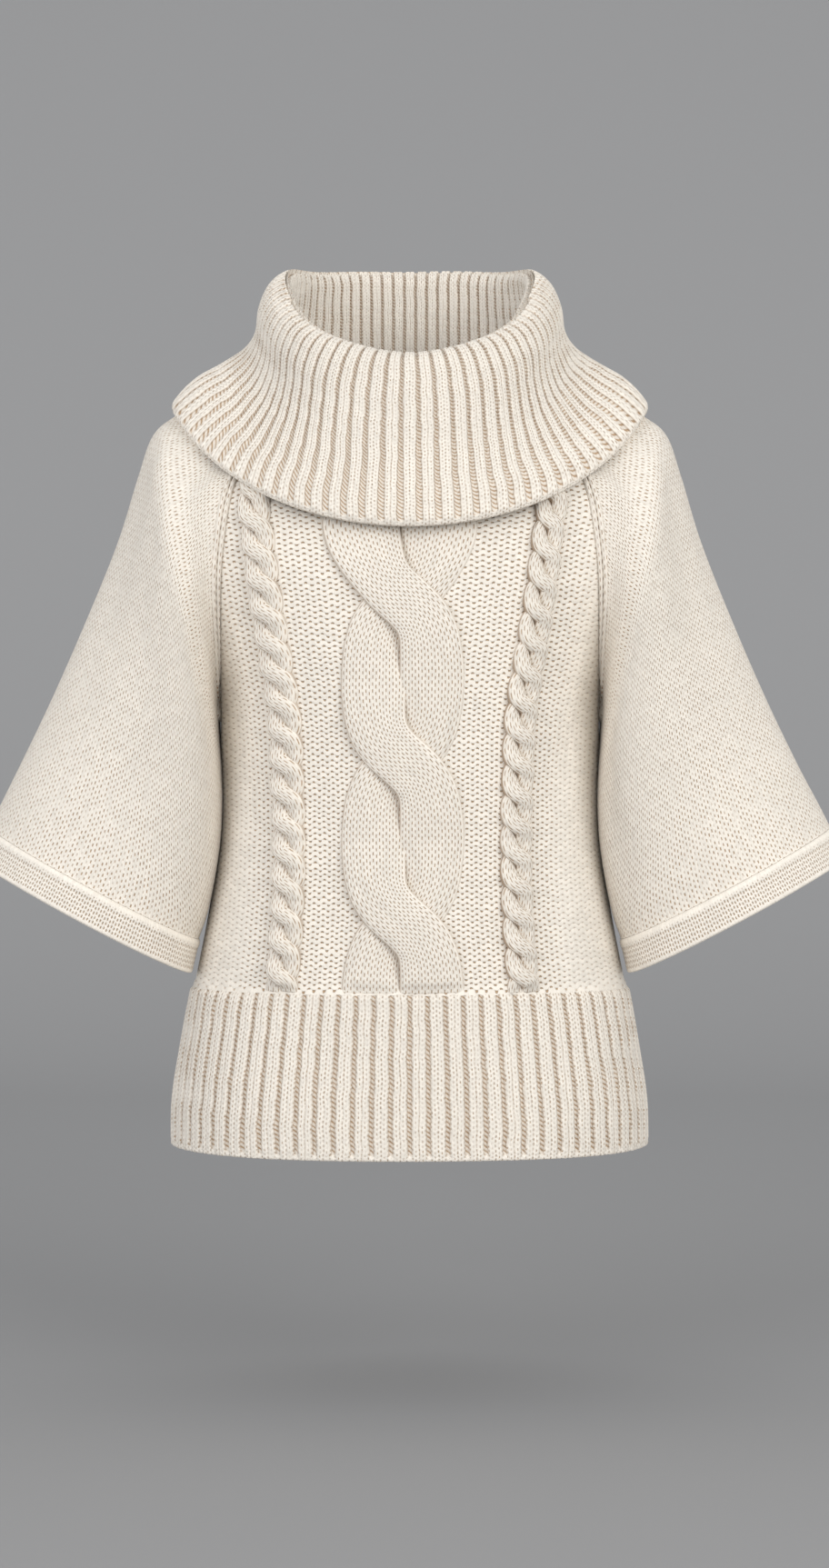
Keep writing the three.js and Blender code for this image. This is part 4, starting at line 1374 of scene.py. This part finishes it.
def studio_material():
    """Matt grey that grows a little paler from the floor back to the wall: painted light where the lamps
    reach less.
    """
    material = bpy.data.materials.new("studio_grey")
    material.use_nodes = True
    tree = material.node_tree
    place = tree.nodes.new("ShaderNodeTexCoord").outputs["Object"]
    parts = fill(tree.nodes.new("ShaderNodeSeparateXYZ"), {0: place})
    nearest, furthest = STAGE_GREYS[0][0], STAGE_GREYS[-1][0]
    share = (Number(tree, parts.outputs["Y"]) - nearest) / (furthest - nearest)
    ramp = fill(tree.nodes.new("ShaderNodeValToRGB"), {0: share})
    ramp.color_ramp.interpolation = "B_SPLINE"
    stops = ramp.color_ramp.elements
    for _ in STAGE_GREYS[2:]:
        stops.new(0.5)
    for stop, (y, grey) in zip(stops, STAGE_GREYS):
        stop.position = (y - nearest) / (furthest - nearest)
        stop.color = (grey, grey, grey * 1.01, 1)
    inputs = {"Base Color": ramp.outputs["Color"], "Roughness": 1.0, "Specular IOR Level": 0.0}
    fill(tree.nodes["Principled BSDF"], inputs)
    return material


def backdrop():
    """Floor that bends up into the wall behind."""
    bend = [
        (STAGE_WALL - STAGE_BEND + STAGE_BEND * np.sin(a), FLOOR_Z + STAGE_BEND * (1 - np.cos(a)))
        for a in np.linspace(0, np.pi / 2, 25)
    ]
    line = [(STAGE_FRONT, FLOOR_Z), *bend, (STAGE_WALL, STAGE_TOP)]
    points = [(x, y, z) for y, z in line for x in (-STAGE_HALF_WIDTH, STAGE_HALF_WIDTH)]
    faces = [(2 * i, 2 * i + 1, 2 * i + 3, 2 * i + 2) for i in range(len(line) - 1)]
    mesh = bpy.data.meshes.new("backdrop")
    mesh.from_pydata(points, [], faces)
    mesh.shade_smooth()
    mesh.materials.append(studio_material())
    piece = bpy.data.objects.new("backdrop", mesh)
    bpy.context.scene.collection.objects.link(piece)
    return piece


def aimed(name, data, place, aim):
    """An object of a light or camera that looks from a place at another."""
    holder = bpy.data.objects.new(name, data)
    holder.location = place
    holder.rotation_euler = (Vector(aim) - Vector(place)).to_track_quat("-Z", "Y").to_euler()
    bpy.context.scene.collection.objects.link(holder)
    return holder


def soft_light(name, place, size, power, colour):
    """A square area light."""
    light = bpy.data.lights.new(name, "AREA")
    light.shape = "SQUARE"
    light.size = size
    light.energy = power
    light.color = colour
    aimed(name, light, place, LIGHT_AIM)


def camera():
    data = bpy.data.cameras.new("camera")
    data.lens = CAMERA_LENS
    data.sensor_fit = "AUTO"
    data.sensor_width = CAMERA_SENSOR
    bpy.context.scene.camera = aimed("camera", data, CAMERA_PLACE, CAMERA_AIM)


def sky():
    world = bpy.data.worlds.new("studio")
    world.use_nodes = True
    fill(world.node_tree.nodes["Background"], {"Color": SKY_COLOUR, "Strength": SKY_STRENGTH})
    bpy.context.scene.world = world


backdrop()
camera()
sky()
for light in LIGHTS:
    soft_light(*light)
bpy.context.scene.view_settings.view_transform = "Standard"
